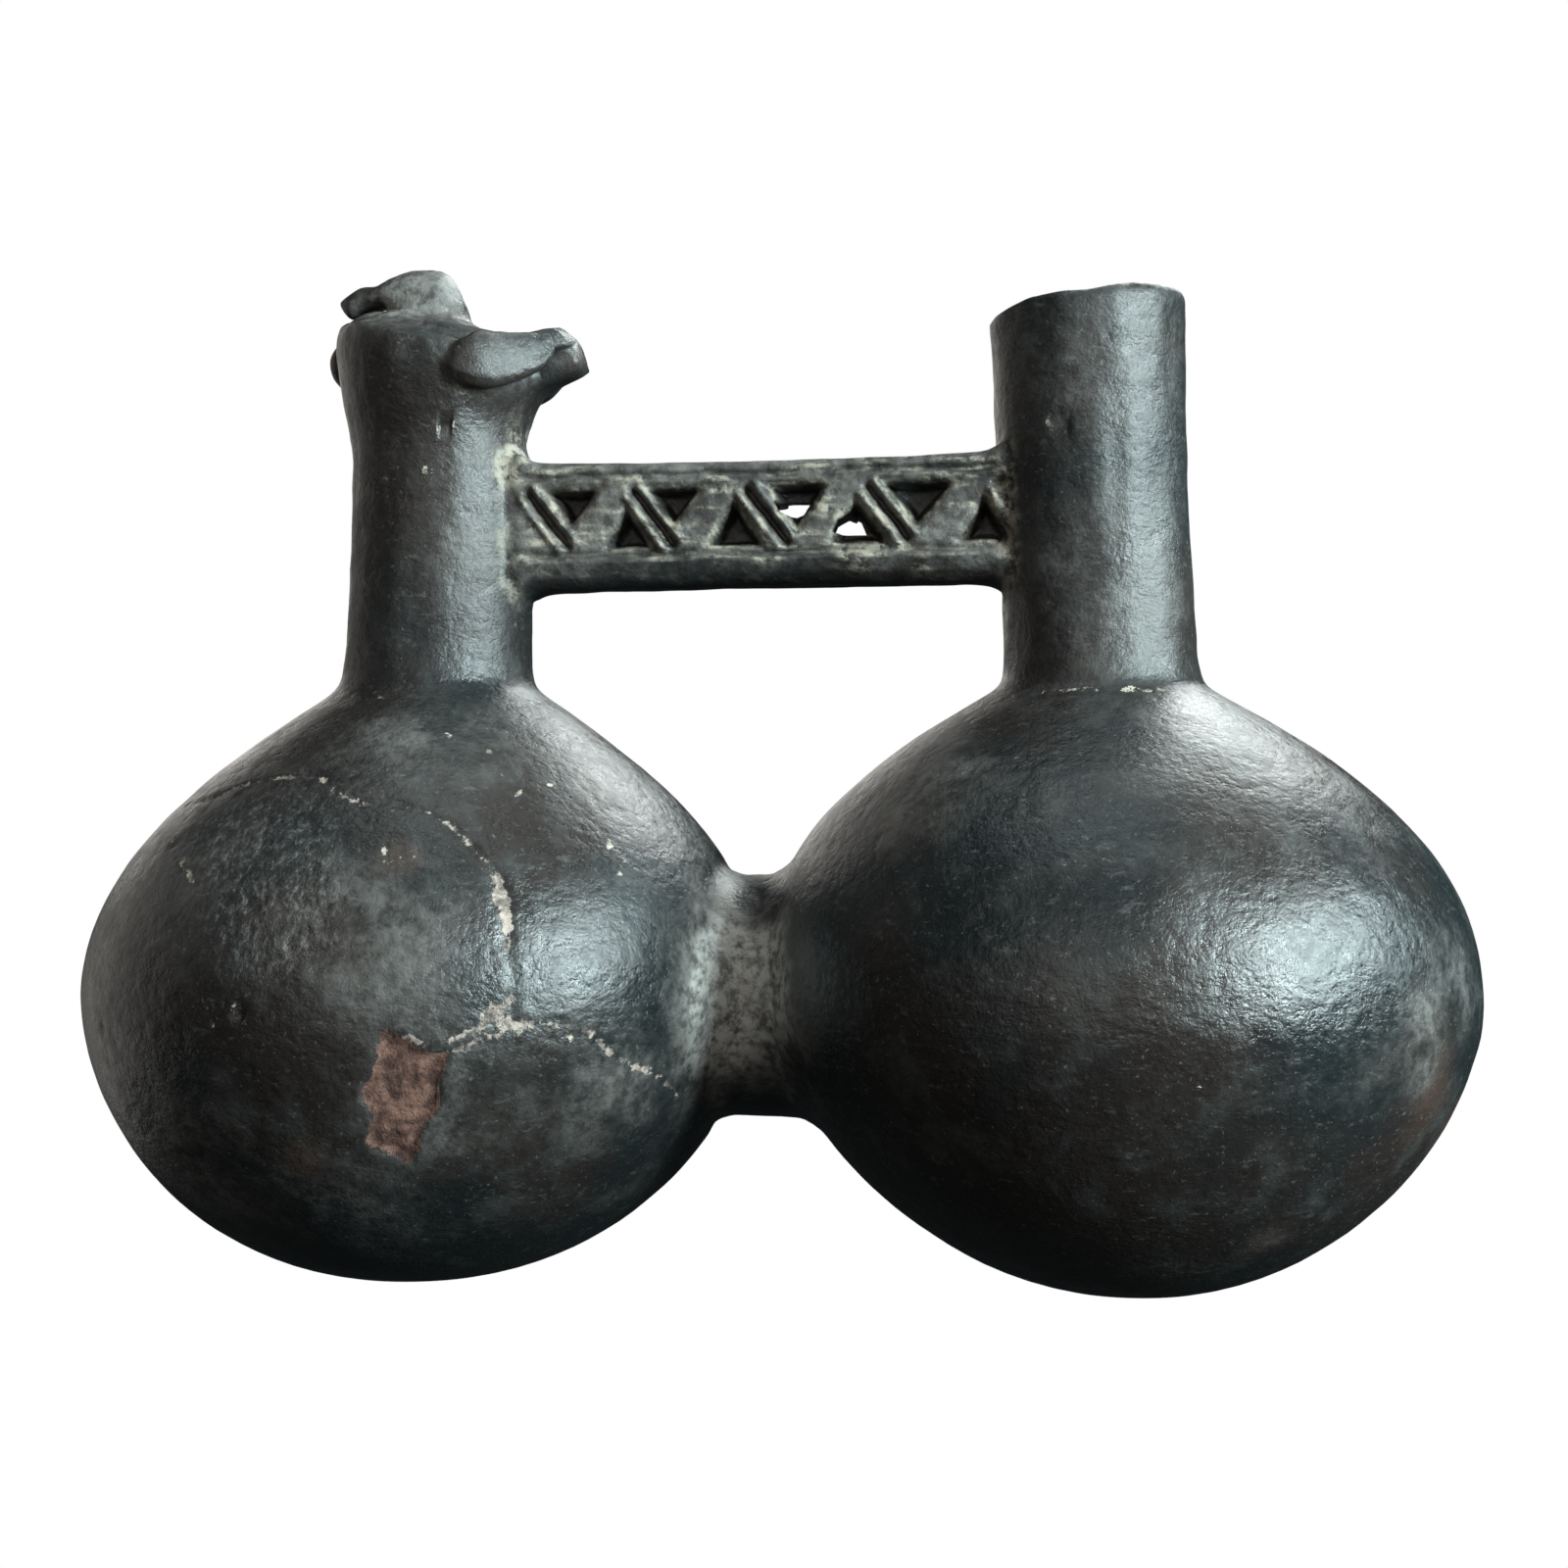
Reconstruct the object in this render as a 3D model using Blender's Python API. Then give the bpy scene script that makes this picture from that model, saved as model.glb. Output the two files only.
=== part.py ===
"""A double-chambered vessel of black fired clay, standing on the undersides of its two round chambers.

The left bottle is closed by a modelled bird, the right bottle is an open spout, an openwork bridge joins
the two necks, and a short tube joins the chambers, so that both are one vessel for water.
+X runs from the bird to the spout, +Z is up, and the origin is on the ground under the middle.
"""

import math

import bmesh
import bpy
from mathutils import Matrix, Vector

MM = 0.001

# Chambers: each is turned about its own axis, round in plan, and widest at its equator.
OVERALL_WIDTH = 226.5 * MM
EQUATOR_HEIGHT = 46.1 * MM
CHAMBER_WALL = 4.5 * MM
FOOT_RADIUS = 12.0 * MM
LEFT_CHAMBER_RADIUS = 55.6 * MM
RIGHT_CHAMBER_RADIUS = 57.0 * MM
LEFT_SHOULDER_RISE = 58.4 * MM
RIGHT_SHOULDER_RISE = 57.0 * MM
LEFT_SHOULDER_POWER = 2.10
RIGHT_SHOULDER_POWER = 2.42
LEFT_BELLY_POWERS = (1.775, 0.453)
RIGHT_BELLY_POWERS = (1.60, 0.484)

# Necks: they lean in a little towards each other, sway back near the top, and open out at the shoulder.
NECK_WALL = 3.6 * MM
NECK_RADIUS = 14.8 * MM
LEFT_NECK_LEAN = 0.035
RIGHT_NECK_LEAN = -0.051
LEFT_NECK_SWAY = 1.4 * MM
RIGHT_NECK_SWAY = 0.6 * MM
NECK_JOINT_HEIGHT = 95.0 * MM
NECK_FOOT_FLARE = 0.9 * MM
NECK_FOOT_FLARE_LENGTH = 8.0 * MM
NECK_FILLET = 2.6 * MM

# Spout: an open neck with a rounded lip, which dips on the side of the bird.
SPOUT_HEIGHT = 158.9 * MM
LIP_ROUND = 1.4 * MM
LIP_DIP = 1.8 * MM
LIP_DIP_LENGTH = 8.0 * MM
LIP_SWELL = 0.8 * MM
LIP_SWELL_LENGTH = 30.0 * MM

# Bird neck: it widens upwards to a closed crown, which is the bird's body and ends a little below the lip.
CROWN_BELOW_LIP = 4.3 * MM
CROWN_HEIGHT = SPOUT_HEIGHT - CROWN_BELOW_LIP
CROWN_DOME = 4.5 * MM
CROWN_FLARE = 3.0 * MM
CROWN_FLARE_LENGTH = 7.0 * MM
CROWN_WALL = 6.0 * MM

# Tube between the chambers.
TUBE_RADIUS = 19.6 * MM
TUBE_WALL = 4.5 * MM
TUBE_FLARE = 7.0 * MM
TUBE_STRAIGHT = 5.0 * MM
TUBE_OVERLAP = 22.0 * MM

# Bridge between the necks, and its carving.
BRIDGE_BOTTOM = 112.4 * MM
BRIDGE_TOP = 133.5 * MM
BRIDGE_DEPTH = 17.0 * MM
BRIDGE_ROUND = 3.2 * MM
BRIDGE_SAG = 0.9 * MM
BRIDGE_END_FILLET = 2.3 * MM
BRIDGE_END_FILLET_LENGTH = 2.0 * MM
FIELD_TOP = 129.0 * MM
FIELD_BOTTOM = 118.4 * MM
BORDER_MARGIN = 1.6 * MM
LINE_WIDTH = 1.0 * MM
LINE_DEPTH = 0.8 * MM
HOLE_COUNT = 8
HOLE_PITCH = 9.5 * MM
HOLE_ROW_OFFSET = 3.2 * MM
HOLE_DRIFT = 1.8 * MM
HOLE_WIDTH = 7.4 * MM
HOLE_RISE = 5.0 * MM
HOLE_MARGIN = 1.0 * MM
BLIND_DEPTH = 5.0 * MM
OPEN_HOLES = (4, 5)
OPEN_HOLE_TAPER = 0.7
OPEN_HOLE_SLANT = 2.1 * MM

# Bird: places are measured from the neck's axis and the crown's height.
HEAD_RADII = Vector((7.0, 6.4, 5.8)) * MM
HEAD_FORWARD = 1.9 * MM
HEAD_RISE = 5.0 * MM
BEAK_REACH = 16.5 * MM
BEAK_RISE = 6.2 * MM
BEAK_ROOT_HEIGHT = 3.4 * MM
BEAK_ROOT_WIDTH = 4.2 * MM
BREAST_RADII = Vector((8.9, 10.5, 6.5)) * MM
BREAST_FORWARD = 8.0 * MM
BREAST_DROP = 1.8 * MM
TAIL_REACH = 22.8 * MM
TAIL_ROOT_DROP = 0.8 * MM
TAIL_TIP_RISE = 0.9 * MM
TAIL_TIP_HEIGHT = 7.2 * MM
TAIL_TIP_WIDTH = 13.0 * MM
TAIL_ROOT_WIDTH = 19.0 * MM
TAIL_END_SLANT = 3.4 * MM
TAIL_FILLET = 9.5 * MM
TAIL_FILLET_LENGTH = 2.4 * MM
WING_RADII = Vector((7.4, 3.6, 3.9)) * MM
WING_BACK = 7.4 * MM
WING_DROP = 6.1 * MM
WING_OUT = 13.6 * MM
WING_TURN = 27.0
LUG_RADIUS = 2.6 * MM
LUG_DROP = 3.8 * MM
LUG_OUT = 16.2 * MM

# How finely the round forms are cut into flat faces.
ROUND_STEPS = 36
HOLLOW_STEPS = 22
TUBE_STEPS = 24
BIRD_STEPS = 16
OUTSIDE_RINGS = (9, 10, 8)
INSIDE_RINGS = (6, 7, 4)

LEFT_AXIS = -OVERALL_WIDTH / 2 + LEFT_CHAMBER_RADIUS
RIGHT_AXIS = OVERALL_WIDTH / 2 - RIGHT_CHAMBER_RADIUS
PAST_SURFACE = 3.0 * MM


def clear_scene():
    for thing in list(bpy.data.objects):
        bpy.data.objects.remove(thing, do_unlink=True)


def black_clay():
    """Burnished clay, blackened in the firing."""
    material = bpy.data.materials.new("black_fired_clay")
    material.use_nodes = True
    shader = material.node_tree.nodes["Principled BSDF"]
    shader.inputs["Base Color"].default_value = (0.014, 0.014, 0.014, 1.0)
    shader.inputs["Roughness"].default_value = 0.38
    shader.inputs["Metallic"].default_value = 0.0
    return material


def object_from(name, mesh_data, collection=None):
    """An object with this bmesh's faces, its normals pointing out; helpers go in a collection, drawn as wires."""
    bmesh.ops.recalc_face_normals(mesh_data, faces=mesh_data.faces)
    mesh = bpy.data.meshes.new(name)
    mesh_data.to_mesh(mesh)
    mesh_data.free()
    thing = bpy.data.objects.new(name, mesh)
    (collection or bpy.context.scene.collection).objects.link(thing)
    if collection:
        thing.hide_render = True
        thing.display_type = "WIRE"
    return thing


def helper_collection(name):
    collection = bpy.data.collections.new(name)
    bpy.context.scene.collection.children.link(collection)
    return collection


def bird_axis(height):
    """The X place of the left bottle's axis at this height: it leans in, and sways back towards the crown."""
    up = max(0.0, height - NECK_JOINT_HEIGHT) / (CROWN_HEIGHT - NECK_JOINT_HEIGHT)
    return LEFT_AXIS + LEFT_NECK_LEAN * (height - EQUATOR_HEIGHT) - LEFT_NECK_SWAY * up**3


def spout_axis(height):
    """The X place of the right bottle's axis at this height."""
    up = max(0.0, height - NECK_JOINT_HEIGHT) / (SPOUT_HEIGHT - NECK_JOINT_HEIGHT)
    return RIGHT_AXIS + RIGHT_NECK_LEAN * (height - EQUATOR_HEIGHT) + RIGHT_NECK_SWAY * up**3


def smooth_larger(a, b, fillet):
    """The larger of two radii, with a rounded change from one to the other."""
    return (a + b + math.sqrt((a - b) ** 2 + fillet**2)) / 2


def belly(radius, powers, wall, rings):
    """(radius, height) points from the foot's rim up to the equator, along R (1 - u^p)^q."""
    power, root = powers
    share_at_foot = (1 - (FOOT_RADIUS / radius) ** (1 / root)) ** (1 / power)
    points = []
    for step in range(rings + 1):
        turn = math.asin(share_at_foot) * (1 - step / rings)
        share = math.sin(turn)
        height = EQUATOR_HEIGHT - (EQUATOR_HEIGHT - wall) * share / share_at_foot
        points.append((radius * (1 - share**power) ** root, height))
    return points


def shoulder_radius(radius, rise, power, height):
    """R (1 - u^p), where u runs from 0 at the equator to 1 where the shoulder would close."""
    share = min(1.0, max(0.0, (height - EQUATOR_HEIGHT) / rise))
    return radius * (1 - share**power)


def spaced(start, end, count):
    return [start + (end - start) * step / count for step in range(1, count + 1)]


def turned(name, profile, collection, axis_at, steps):
    """A closed solid turned from a profile of (radius, height), set along an axis given by X at each height."""
    mesh_data = bmesh.new()
    points = [mesh_data.verts.new((radius, 0.0, height)) for radius, height in profile]
    edges = [mesh_data.edges.new(pair) for pair in zip(points, points[1:])]
    bmesh.ops.spin(
        mesh_data,
        geom=points + edges,
        cent=(0, 0, 0),
        axis=(0, 0, 1),
        angle=math.tau,
        steps=steps,
        use_merge=True,
    )
    bmesh.ops.remove_doubles(mesh_data, verts=mesh_data.verts, dist=0.001 * MM)
    for vertex in mesh_data.verts:
        vertex.co.x += axis_at(vertex.co.z)
    return object_from(name, mesh_data, collection)


def neck_heights(top, shoulder_rings, neck_rings):
    """Heights up the shoulder and the neck, closer together round the joint."""
    below = NECK_JOINT_HEIGHT - NECK_FILLET
    above = NECK_JOINT_HEIGHT + 2 * NECK_FILLET
    heights = spaced(EQUATOR_HEIGHT, below, shoulder_rings)
    heights += spaced(below, above, 4)
    heights += spaced(above, top, neck_rings)
    return heights


def neck_radius_at(height, neck):
    return neck + NECK_FOOT_FLARE * math.exp(-max(0.0, height - NECK_JOINT_HEIGHT) / NECK_FOOT_FLARE_LENGTH)


def spout_bottle(clay, hollows):
    """The right bottle: its outside as one turned solid, and its inside as a cutter that runs out of the lip."""
    belly_rings, shoulder_rings, neck_rings = OUTSIDE_RINGS
    outer = [(0.0, 0.0)] + belly(RIGHT_CHAMBER_RADIUS, RIGHT_BELLY_POWERS, 0.0, belly_rings)
    for height in neck_heights(SPOUT_HEIGHT - LIP_ROUND, shoulder_rings, neck_rings):
        shoulder = shoulder_radius(RIGHT_CHAMBER_RADIUS, RIGHT_SHOULDER_RISE, RIGHT_SHOULDER_POWER, height)
        swell = LIP_SWELL * math.exp((height - SPOUT_HEIGHT) / LIP_SWELL_LENGTH)
        outer.append((smooth_larger(shoulder, neck_radius_at(height, NECK_RADIUS) + swell, NECK_FILLET), height))
    rim = outer[-1][0]
    outer.append((rim - 0.4 * LIP_ROUND, SPOUT_HEIGHT - 0.3 * LIP_ROUND))
    outer.append((rim - LIP_ROUND, SPOUT_HEIGHT))
    outer.append((0.0, SPOUT_HEIGHT))
    outside = turned("spout_bottle_outside", outer, clay, spout_axis, ROUND_STEPS)

    belly_rings, shoulder_rings, neck_rings = INSIDE_RINGS
    radius = RIGHT_CHAMBER_RADIUS - CHAMBER_WALL
    rise = RIGHT_SHOULDER_RISE - CHAMBER_WALL
    bore = NECK_RADIUS - NECK_WALL
    inner = [(0.0, CHAMBER_WALL)] + belly(radius, RIGHT_BELLY_POWERS, CHAMBER_WALL, belly_rings)
    for height in neck_heights(SPOUT_HEIGHT - 2 * LIP_ROUND, shoulder_rings, neck_rings):
        shoulder = shoulder_radius(radius, rise, RIGHT_SHOULDER_POWER, height)
        inner.append((smooth_larger(shoulder, neck_radius_at(height, bore), NECK_FILLET), height))
    inner.append((inner[-1][0] + 0.5 * LIP_ROUND, SPOUT_HEIGHT - 0.5 * LIP_ROUND))
    inner.append((rim - 1.5 * LIP_ROUND, SPOUT_HEIGHT + PAST_SURFACE))
    inner.append((0.0, SPOUT_HEIGHT + PAST_SURFACE))
    inside = turned("spout_bottle_inside", inner, hollows, spout_axis, HOLLOW_STEPS)
    for thing in (outside, inside):
        dip_lip(thing)


def dip_lip(thing):
    """Lowers the lip on the bird's side and raises it as much on the other, fading out down the neck."""
    for vertex in thing.data.vertices:
        fade = max(0.0, 1 + (vertex.co.z - SPOUT_HEIGHT) / LIP_DIP_LENGTH)
        side = (vertex.co.x - spout_axis(SPOUT_HEIGHT)) / NECK_RADIUS
        vertex.co.z += LIP_DIP * min(fade, 1.0) * (side - 1) / 2


def bird_bottle_outside(name):
    """The left bottle's outside: the neck widens to a low closed dome, on which the bird is modelled."""
    belly_rings, shoulder_rings, neck_rings = OUTSIDE_RINGS
    profile = [(0.0, 0.0)] + belly(LEFT_CHAMBER_RADIUS, LEFT_BELLY_POWERS, 0.0, belly_rings)
    dome_start = CROWN_HEIGHT - CROWN_DOME
    for height in neck_heights(dome_start, shoulder_rings, neck_rings):
        shoulder = shoulder_radius(LEFT_CHAMBER_RADIUS, LEFT_SHOULDER_RISE, LEFT_SHOULDER_POWER, height)
        flare = CROWN_FLARE * math.exp((height - dome_start) / CROWN_FLARE_LENGTH)
        profile.append((smooth_larger(shoulder, neck_radius_at(height, NECK_RADIUS) + flare, NECK_FILLET), height))
    rim = profile[-1][0]
    for step in (0.45, 0.8):
        profile.append((rim * math.sqrt(1 - step**2), dome_start + CROWN_DOME * step))
    profile.append((0.0, CROWN_HEIGHT))
    return turned(name, profile, None, bird_axis, ROUND_STEPS)


def bird_bottle_inside(hollows):
    """The left bottle's hollow, closed by a low dome under the bird."""
    belly_rings, shoulder_rings, neck_rings = INSIDE_RINGS
    radius = LEFT_CHAMBER_RADIUS - CHAMBER_WALL
    rise = LEFT_SHOULDER_RISE - CHAMBER_WALL
    bore = NECK_RADIUS - NECK_WALL
    ceiling = CROWN_HEIGHT - CROWN_WALL
    spring = ceiling - bore / 2
    profile = [(0.0, CHAMBER_WALL)] + belly(radius, LEFT_BELLY_POWERS, CHAMBER_WALL, belly_rings)
    for height in neck_heights(spring, shoulder_rings, neck_rings):
        shoulder = shoulder_radius(radius, rise, LEFT_SHOULDER_POWER, height)
        profile.append((smooth_larger(shoulder, neck_radius_at(height, bore), NECK_FILLET), height))
    for step in (0.5, 0.85):
        profile.append((bore * math.sqrt(1 - step**2), spring + (ceiling - spring) * step))
    profile.append((0.0, ceiling))
    turned("bird_bottle_inside", profile, hollows, bird_axis, HOLLOW_STEPS)


def chamber_tube(name, radius, flare, collection):
    """A tube along X between the chambers, at the equator's height, opening out towards both ends."""
    middle = (LEFT_AXIS + LEFT_CHAMBER_RADIUS + RIGHT_AXIS - RIGHT_CHAMBER_RADIUS) / 2
    reach = TUBE_OVERLAP
    stations = 5
    profile = [(0.0, -reach)]
    for step in range(-stations, stations + 1):
        place = reach * step / stations
        spread = max(0.0, abs(place) - TUBE_STRAIGHT / 2) / (reach - TUBE_STRAIGHT / 2)
        profile.append((radius + flare * spread**2, place))
    profile.append((0.0, reach))
    tube = turned(name, profile, collection, lambda height: 0.0, TUBE_STEPS)
    turn = Matrix.Rotation(math.pi / 2, 4, "Y")
    tube.data.transform(Matrix.Translation((middle, 0, EQUATOR_HEIGHT)) @ turn)


def lofted(name, rings, collection):
    """A closed solid through rings of as many points each, with a flat cap on the first ring and on the last."""
    mesh_data = bmesh.new()
    rows = [[mesh_data.verts.new(point) for point in ring] for ring in rings]
    for row, following in zip(rows, rows[1:]):
        for index in range(len(row)):
            after = (index + 1) % len(row)
            mesh_data.faces.new((row[index], row[after], following[after], following[index]))
    mesh_data.faces.new(rows[0])
    mesh_data.faces.new(rows[-1])
    return object_from(name, mesh_data, collection)


def rounded_ring(place, half_width, low, high, radius):
    """A ring in the YZ plane at X = place: a rectangle with rounded corners, four points to each corner."""
    ring = []
    for corner, (across, up) in enumerate(((1, 1), (-1, 1), (-1, -1), (1, -1))):
        centre_y = across * (half_width - radius)
        centre_z = (low + high) / 2 + up * ((high - low) / 2 - radius)
        for step in range(4):
            angle = math.pi / 2 * (corner + step / 3)
            ring.append((place, centre_y + radius * math.cos(angle), centre_z + radius * math.sin(angle)))
    return ring


def bridge_ends():
    middle = (FIELD_TOP + FIELD_BOTTOM) / 2
    return bird_axis(middle), spout_axis(middle)


def bridge_bar(clay):
    """A bar with rounded edges from neck to neck. Its edges sag a little between the necks and swell at them."""
    left_end, right_end = bridge_ends()
    stations = 16
    rings = []
    for step in range(stations + 1):
        # Cosine spacing puts more rings near the necks, where the bar swells.
        share = (1 - math.cos(math.pi * step / stations)) / 2
        place = left_end + (right_end - left_end) * share
        gap = max(0.0, min(place - left_end, right_end - place) - NECK_RADIUS)
        fillet = BRIDGE_END_FILLET * math.exp(-gap / BRIDGE_END_FILLET_LENGTH)
        sag = BRIDGE_SAG * math.sin(math.pi * share)
        low = BRIDGE_BOTTOM + sag / 3 - fillet
        high = BRIDGE_TOP - sag + fillet
        rings.append(rounded_ring(place, BRIDGE_DEPTH / 2 + fillet / 4, low, high, BRIDGE_ROUND))
    lofted("bridge_bar", rings, clay)


def hole_place(steps_from_middle):
    """The X place of a hole's middle: an even pitch, with the middle ones set a little towards the bird."""
    row_middle = sum(bridge_ends()) / 2 + HOLE_ROW_OFFSET
    share = 2 * steps_from_middle / (HOLE_COUNT - 1)
    return row_middle + HOLE_PITCH * steps_from_middle - HOLE_DRIFT * (1 - share**2)


def hole_outline(index, size=1.0, slant=0.0):
    """A triangle of (x, z) points, apex down for even holes and apex up for odd ones."""
    middle = hole_place(index - (HOLE_COUNT - 1) / 2) - slant
    half, rise = HOLE_WIDTH / 2 * size, HOLE_RISE * size
    inset = HOLE_MARGIN + (HOLE_RISE - rise) / 3
    if index % 2 == 0:
        base = FIELD_TOP - inset
        return [(middle - half, base), (middle + half, base), (middle, base - rise)]
    base = FIELD_BOTTOM + inset
    return [(middle - half, base), (middle + half, base), (middle, base + rise)]


def prism(name, near_outline, far_outline, near, far, collection):
    """A closed solid between two outlines of (x, z) points at two depths in Y."""
    rings = [[(x, near, z) for x, z in near_outline], [(x, far, z) for x, z in far_outline]]
    return lofted(name, rings, collection)


def groove(name, start, end, side, collection):
    """A V-shaped groove along a straight line of the bar's face, from (x, z) to (x, z)."""
    along = (Vector(end) - Vector(start)).normalized()
    outside = BRIDGE_DEPTH / 2 + PAST_SURFACE
    bottom = BRIDGE_DEPTH / 2 - LINE_DEPTH
    across = Vector((-along.y, along.x)) * LINE_WIDTH / 2 * (outside - bottom) / LINE_DEPTH
    rings = []
    for x, z in (start, end):
        low = (x - across.x, side * outside, z - across.y)
        high = (x + across.x, side * outside, z + across.y)
        rings.append([low, high, (x, side * bottom, z)])
    return lofted(name, rings, collection)


def bridge_carving(carving):
    """Triangular holes, of which two go through, a line along each border, and a groove on every other bar."""
    near, far = BRIDGE_DEPTH / 2 + PAST_SURFACE, BRIDGE_DEPTH / 2 - BLIND_DEPTH
    for index in range(HOLE_COUNT):
        outline = hole_outline(index)
        if index in OPEN_HOLES:
            small = hole_outline(index, OPEN_HOLE_TAPER, OPEN_HOLE_SLANT)
            prism(f"hole_{index}", outline, small, -near, near, carving)
            continue
        for side in (-1, 1):
            prism(f"hole_{index}_{side}", outline, outline, side * near, side * far, carving)

    left_end, right_end = bridge_ends()
    for height in (FIELD_TOP + BORDER_MARGIN, FIELD_BOTTOM - BORDER_MARGIN / 2):
        for side in (-1, 1):
            ends = (left_end + NECK_RADIUS, height), (right_end - NECK_RADIUS, height)
            groove(f"border_{height:.4f}_{side}", *ends, side, carving)
    for step in range(-HOLE_COUNT // 2 + 2, HOLE_COUNT // 2, 2):
        middle = hole_place(step)
        run = HOLE_PITCH * 0.29
        ends = (middle - run, FIELD_TOP - HOLE_MARGIN), (middle + run, FIELD_BOTTOM + HOLE_MARGIN)
        groove(f"bar_groove_{step}", *ends, -1, carving)


def ellipsoid(name, centre, radii, collection, turn=0.0):
    mesh_data = bmesh.new()
    bmesh.ops.create_uvsphere(mesh_data, u_segments=BIRD_STEPS, v_segments=BIRD_STEPS // 2, radius=1.0)
    place = Matrix.Translation(centre) @ Matrix.Rotation(math.radians(turn), 4, "Z") @ Matrix.Diagonal((*radii, 1.0))
    bmesh.ops.transform(mesh_data, matrix=place, verts=mesh_data.verts)
    return object_from(name, mesh_data, collection)


def oval_ring(centre, half_width, half_height, points=12, square=2.0):
    """A ring in the YZ plane round a centre; square above 2 makes it boxier."""
    ring = []
    for corner in range(points):
        angle = math.tau * (corner + 0.5) / points
        across = math.copysign(abs(math.cos(angle)) ** (2 / square), math.cos(angle))
        up = math.copysign(abs(math.sin(angle)) ** (2 / square), math.sin(angle))
        ring.append((centre.x, centre.y + half_width * across, centre.z + half_height * up))
    return ring


def bird(clay):
    """The bird on the left neck: a round head with a beak, a breast, folded wings, a side lug and a square tail."""
    top = Vector((bird_axis(CROWN_HEIGHT), 0.0, CROWN_HEIGHT))
    head = top + Vector((-HEAD_FORWARD, 0.0, HEAD_RISE))
    ellipsoid("bird_head", head, HEAD_RADII, clay)

    tip = top + Vector((-BEAK_REACH, 0.0, BEAK_RISE))
    rings = []
    for share in (0.0, 0.35, 0.6, 0.8, 0.93, 1.0):
        # The beak narrows evenly and then closes quickly to a blunt tip.
        size = max(0.15, math.sqrt(1 - share**3) * (1 - 0.4 * share))
        rings.append(oval_ring(head.lerp(tip, share), BEAK_ROOT_WIDTH * size, BEAK_ROOT_HEIGHT * size))
    lofted("bird_beak", rings, clay)

    breast = top + Vector((-BREAST_FORWARD, 0.0, -BREAST_DROP))
    ellipsoid("bird_breast", breast, BREAST_RADII, clay)
    tail(top, clay)
    for side in (-1, 1):
        wing = top + Vector((WING_BACK, side * WING_OUT, -WING_DROP))
        ellipsoid(f"bird_wing_{side}", wing, WING_RADII, clay, -side * WING_TURN)
    lug = top + Vector((-LUG_OUT, 0.0, -LUG_DROP))
    ellipsoid("bird_breast_lug", lug, Vector((LUG_RADIUS,) * 3), clay)


def tail(top, clay):
    """A thick square tail. Its underside sweeps down into the neck, and its end slants out below."""
    rings = []
    for share in [0.0] + spaced(0.55, 1.0, 7):
        reach = TAIL_REACH * share
        outside_neck = max(0.0, reach - NECK_RADIUS + TAIL_END_SLANT / 4)
        height = TAIL_TIP_HEIGHT + TAIL_FILLET * math.exp(-outside_neck / TAIL_FILLET_LENGTH)
        width = TAIL_ROOT_WIDTH + (TAIL_TIP_WIDTH - TAIL_ROOT_WIDTH) * share
        high = top.z - TAIL_ROOT_DROP + (TAIL_ROOT_DROP + TAIL_TIP_RISE) * share**4
        slant = TAIL_END_SLANT * share**6
        ring = rounded_ring(top.x + reach, width / 2, high - height, high, TAIL_TIP_HEIGHT / 4)
        rings.append([(x + slant * ((high - z) / height - 0.5), y, z) for x, y, z in ring])
    lofted("bird_tail", rings, clay)


def boolean(thing, name, operation, collection):
    modifier = thing.modifiers.new(name, "BOOLEAN")
    modifier.operation = operation
    modifier.operand_type = "COLLECTION"
    modifier.collection = collection
    modifier.solver = "EXACT"


def build():
    clear_scene()
    clay = helper_collection("clay")
    hollows = helper_collection("hollows")
    carving = helper_collection("carving")
    vessel = bird_bottle_outside("vessel")
    spout_bottle(clay, hollows)
    bird_bottle_inside(hollows)
    chamber_tube("tube_outside", TUBE_RADIUS, TUBE_FLARE, clay)
    chamber_tube("tube_inside", TUBE_RADIUS - TUBE_WALL, 0.0, hollows)
    bridge_bar(clay)
    bird(clay)
    bridge_carving(carving)
    boolean(vessel, "join_clay", "UNION", clay)
    boolean(vessel, "hollow_out", "DIFFERENCE", hollows)
    boolean(vessel, "carve_bridge", "DIFFERENCE", carving)
    vessel.data.materials.append(black_clay())
    vessel.data.shade_smooth()
    vessel.data.set_sharp_from_angle(angle=math.radians(40))


build()
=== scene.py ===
# %% [markdown]
# A double vessel of black fired clay, in Blender.
# Two round bottles stand side by side. A short tube joins their chambers, so that both hold the same water,
# and an openwork bridge joins their necks, as a handle. A bird closes the left neck, the right one is open.
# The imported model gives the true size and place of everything. This script gives the same vessel its skin:
# every form is worked out again as a fine surface, the forms are joined, and then the age of the pot is
# pressed into the clay: a crack, a flaked scar, pits, scratches and the marks of the burnishing stone.

# %% Load the frame
import math

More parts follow.
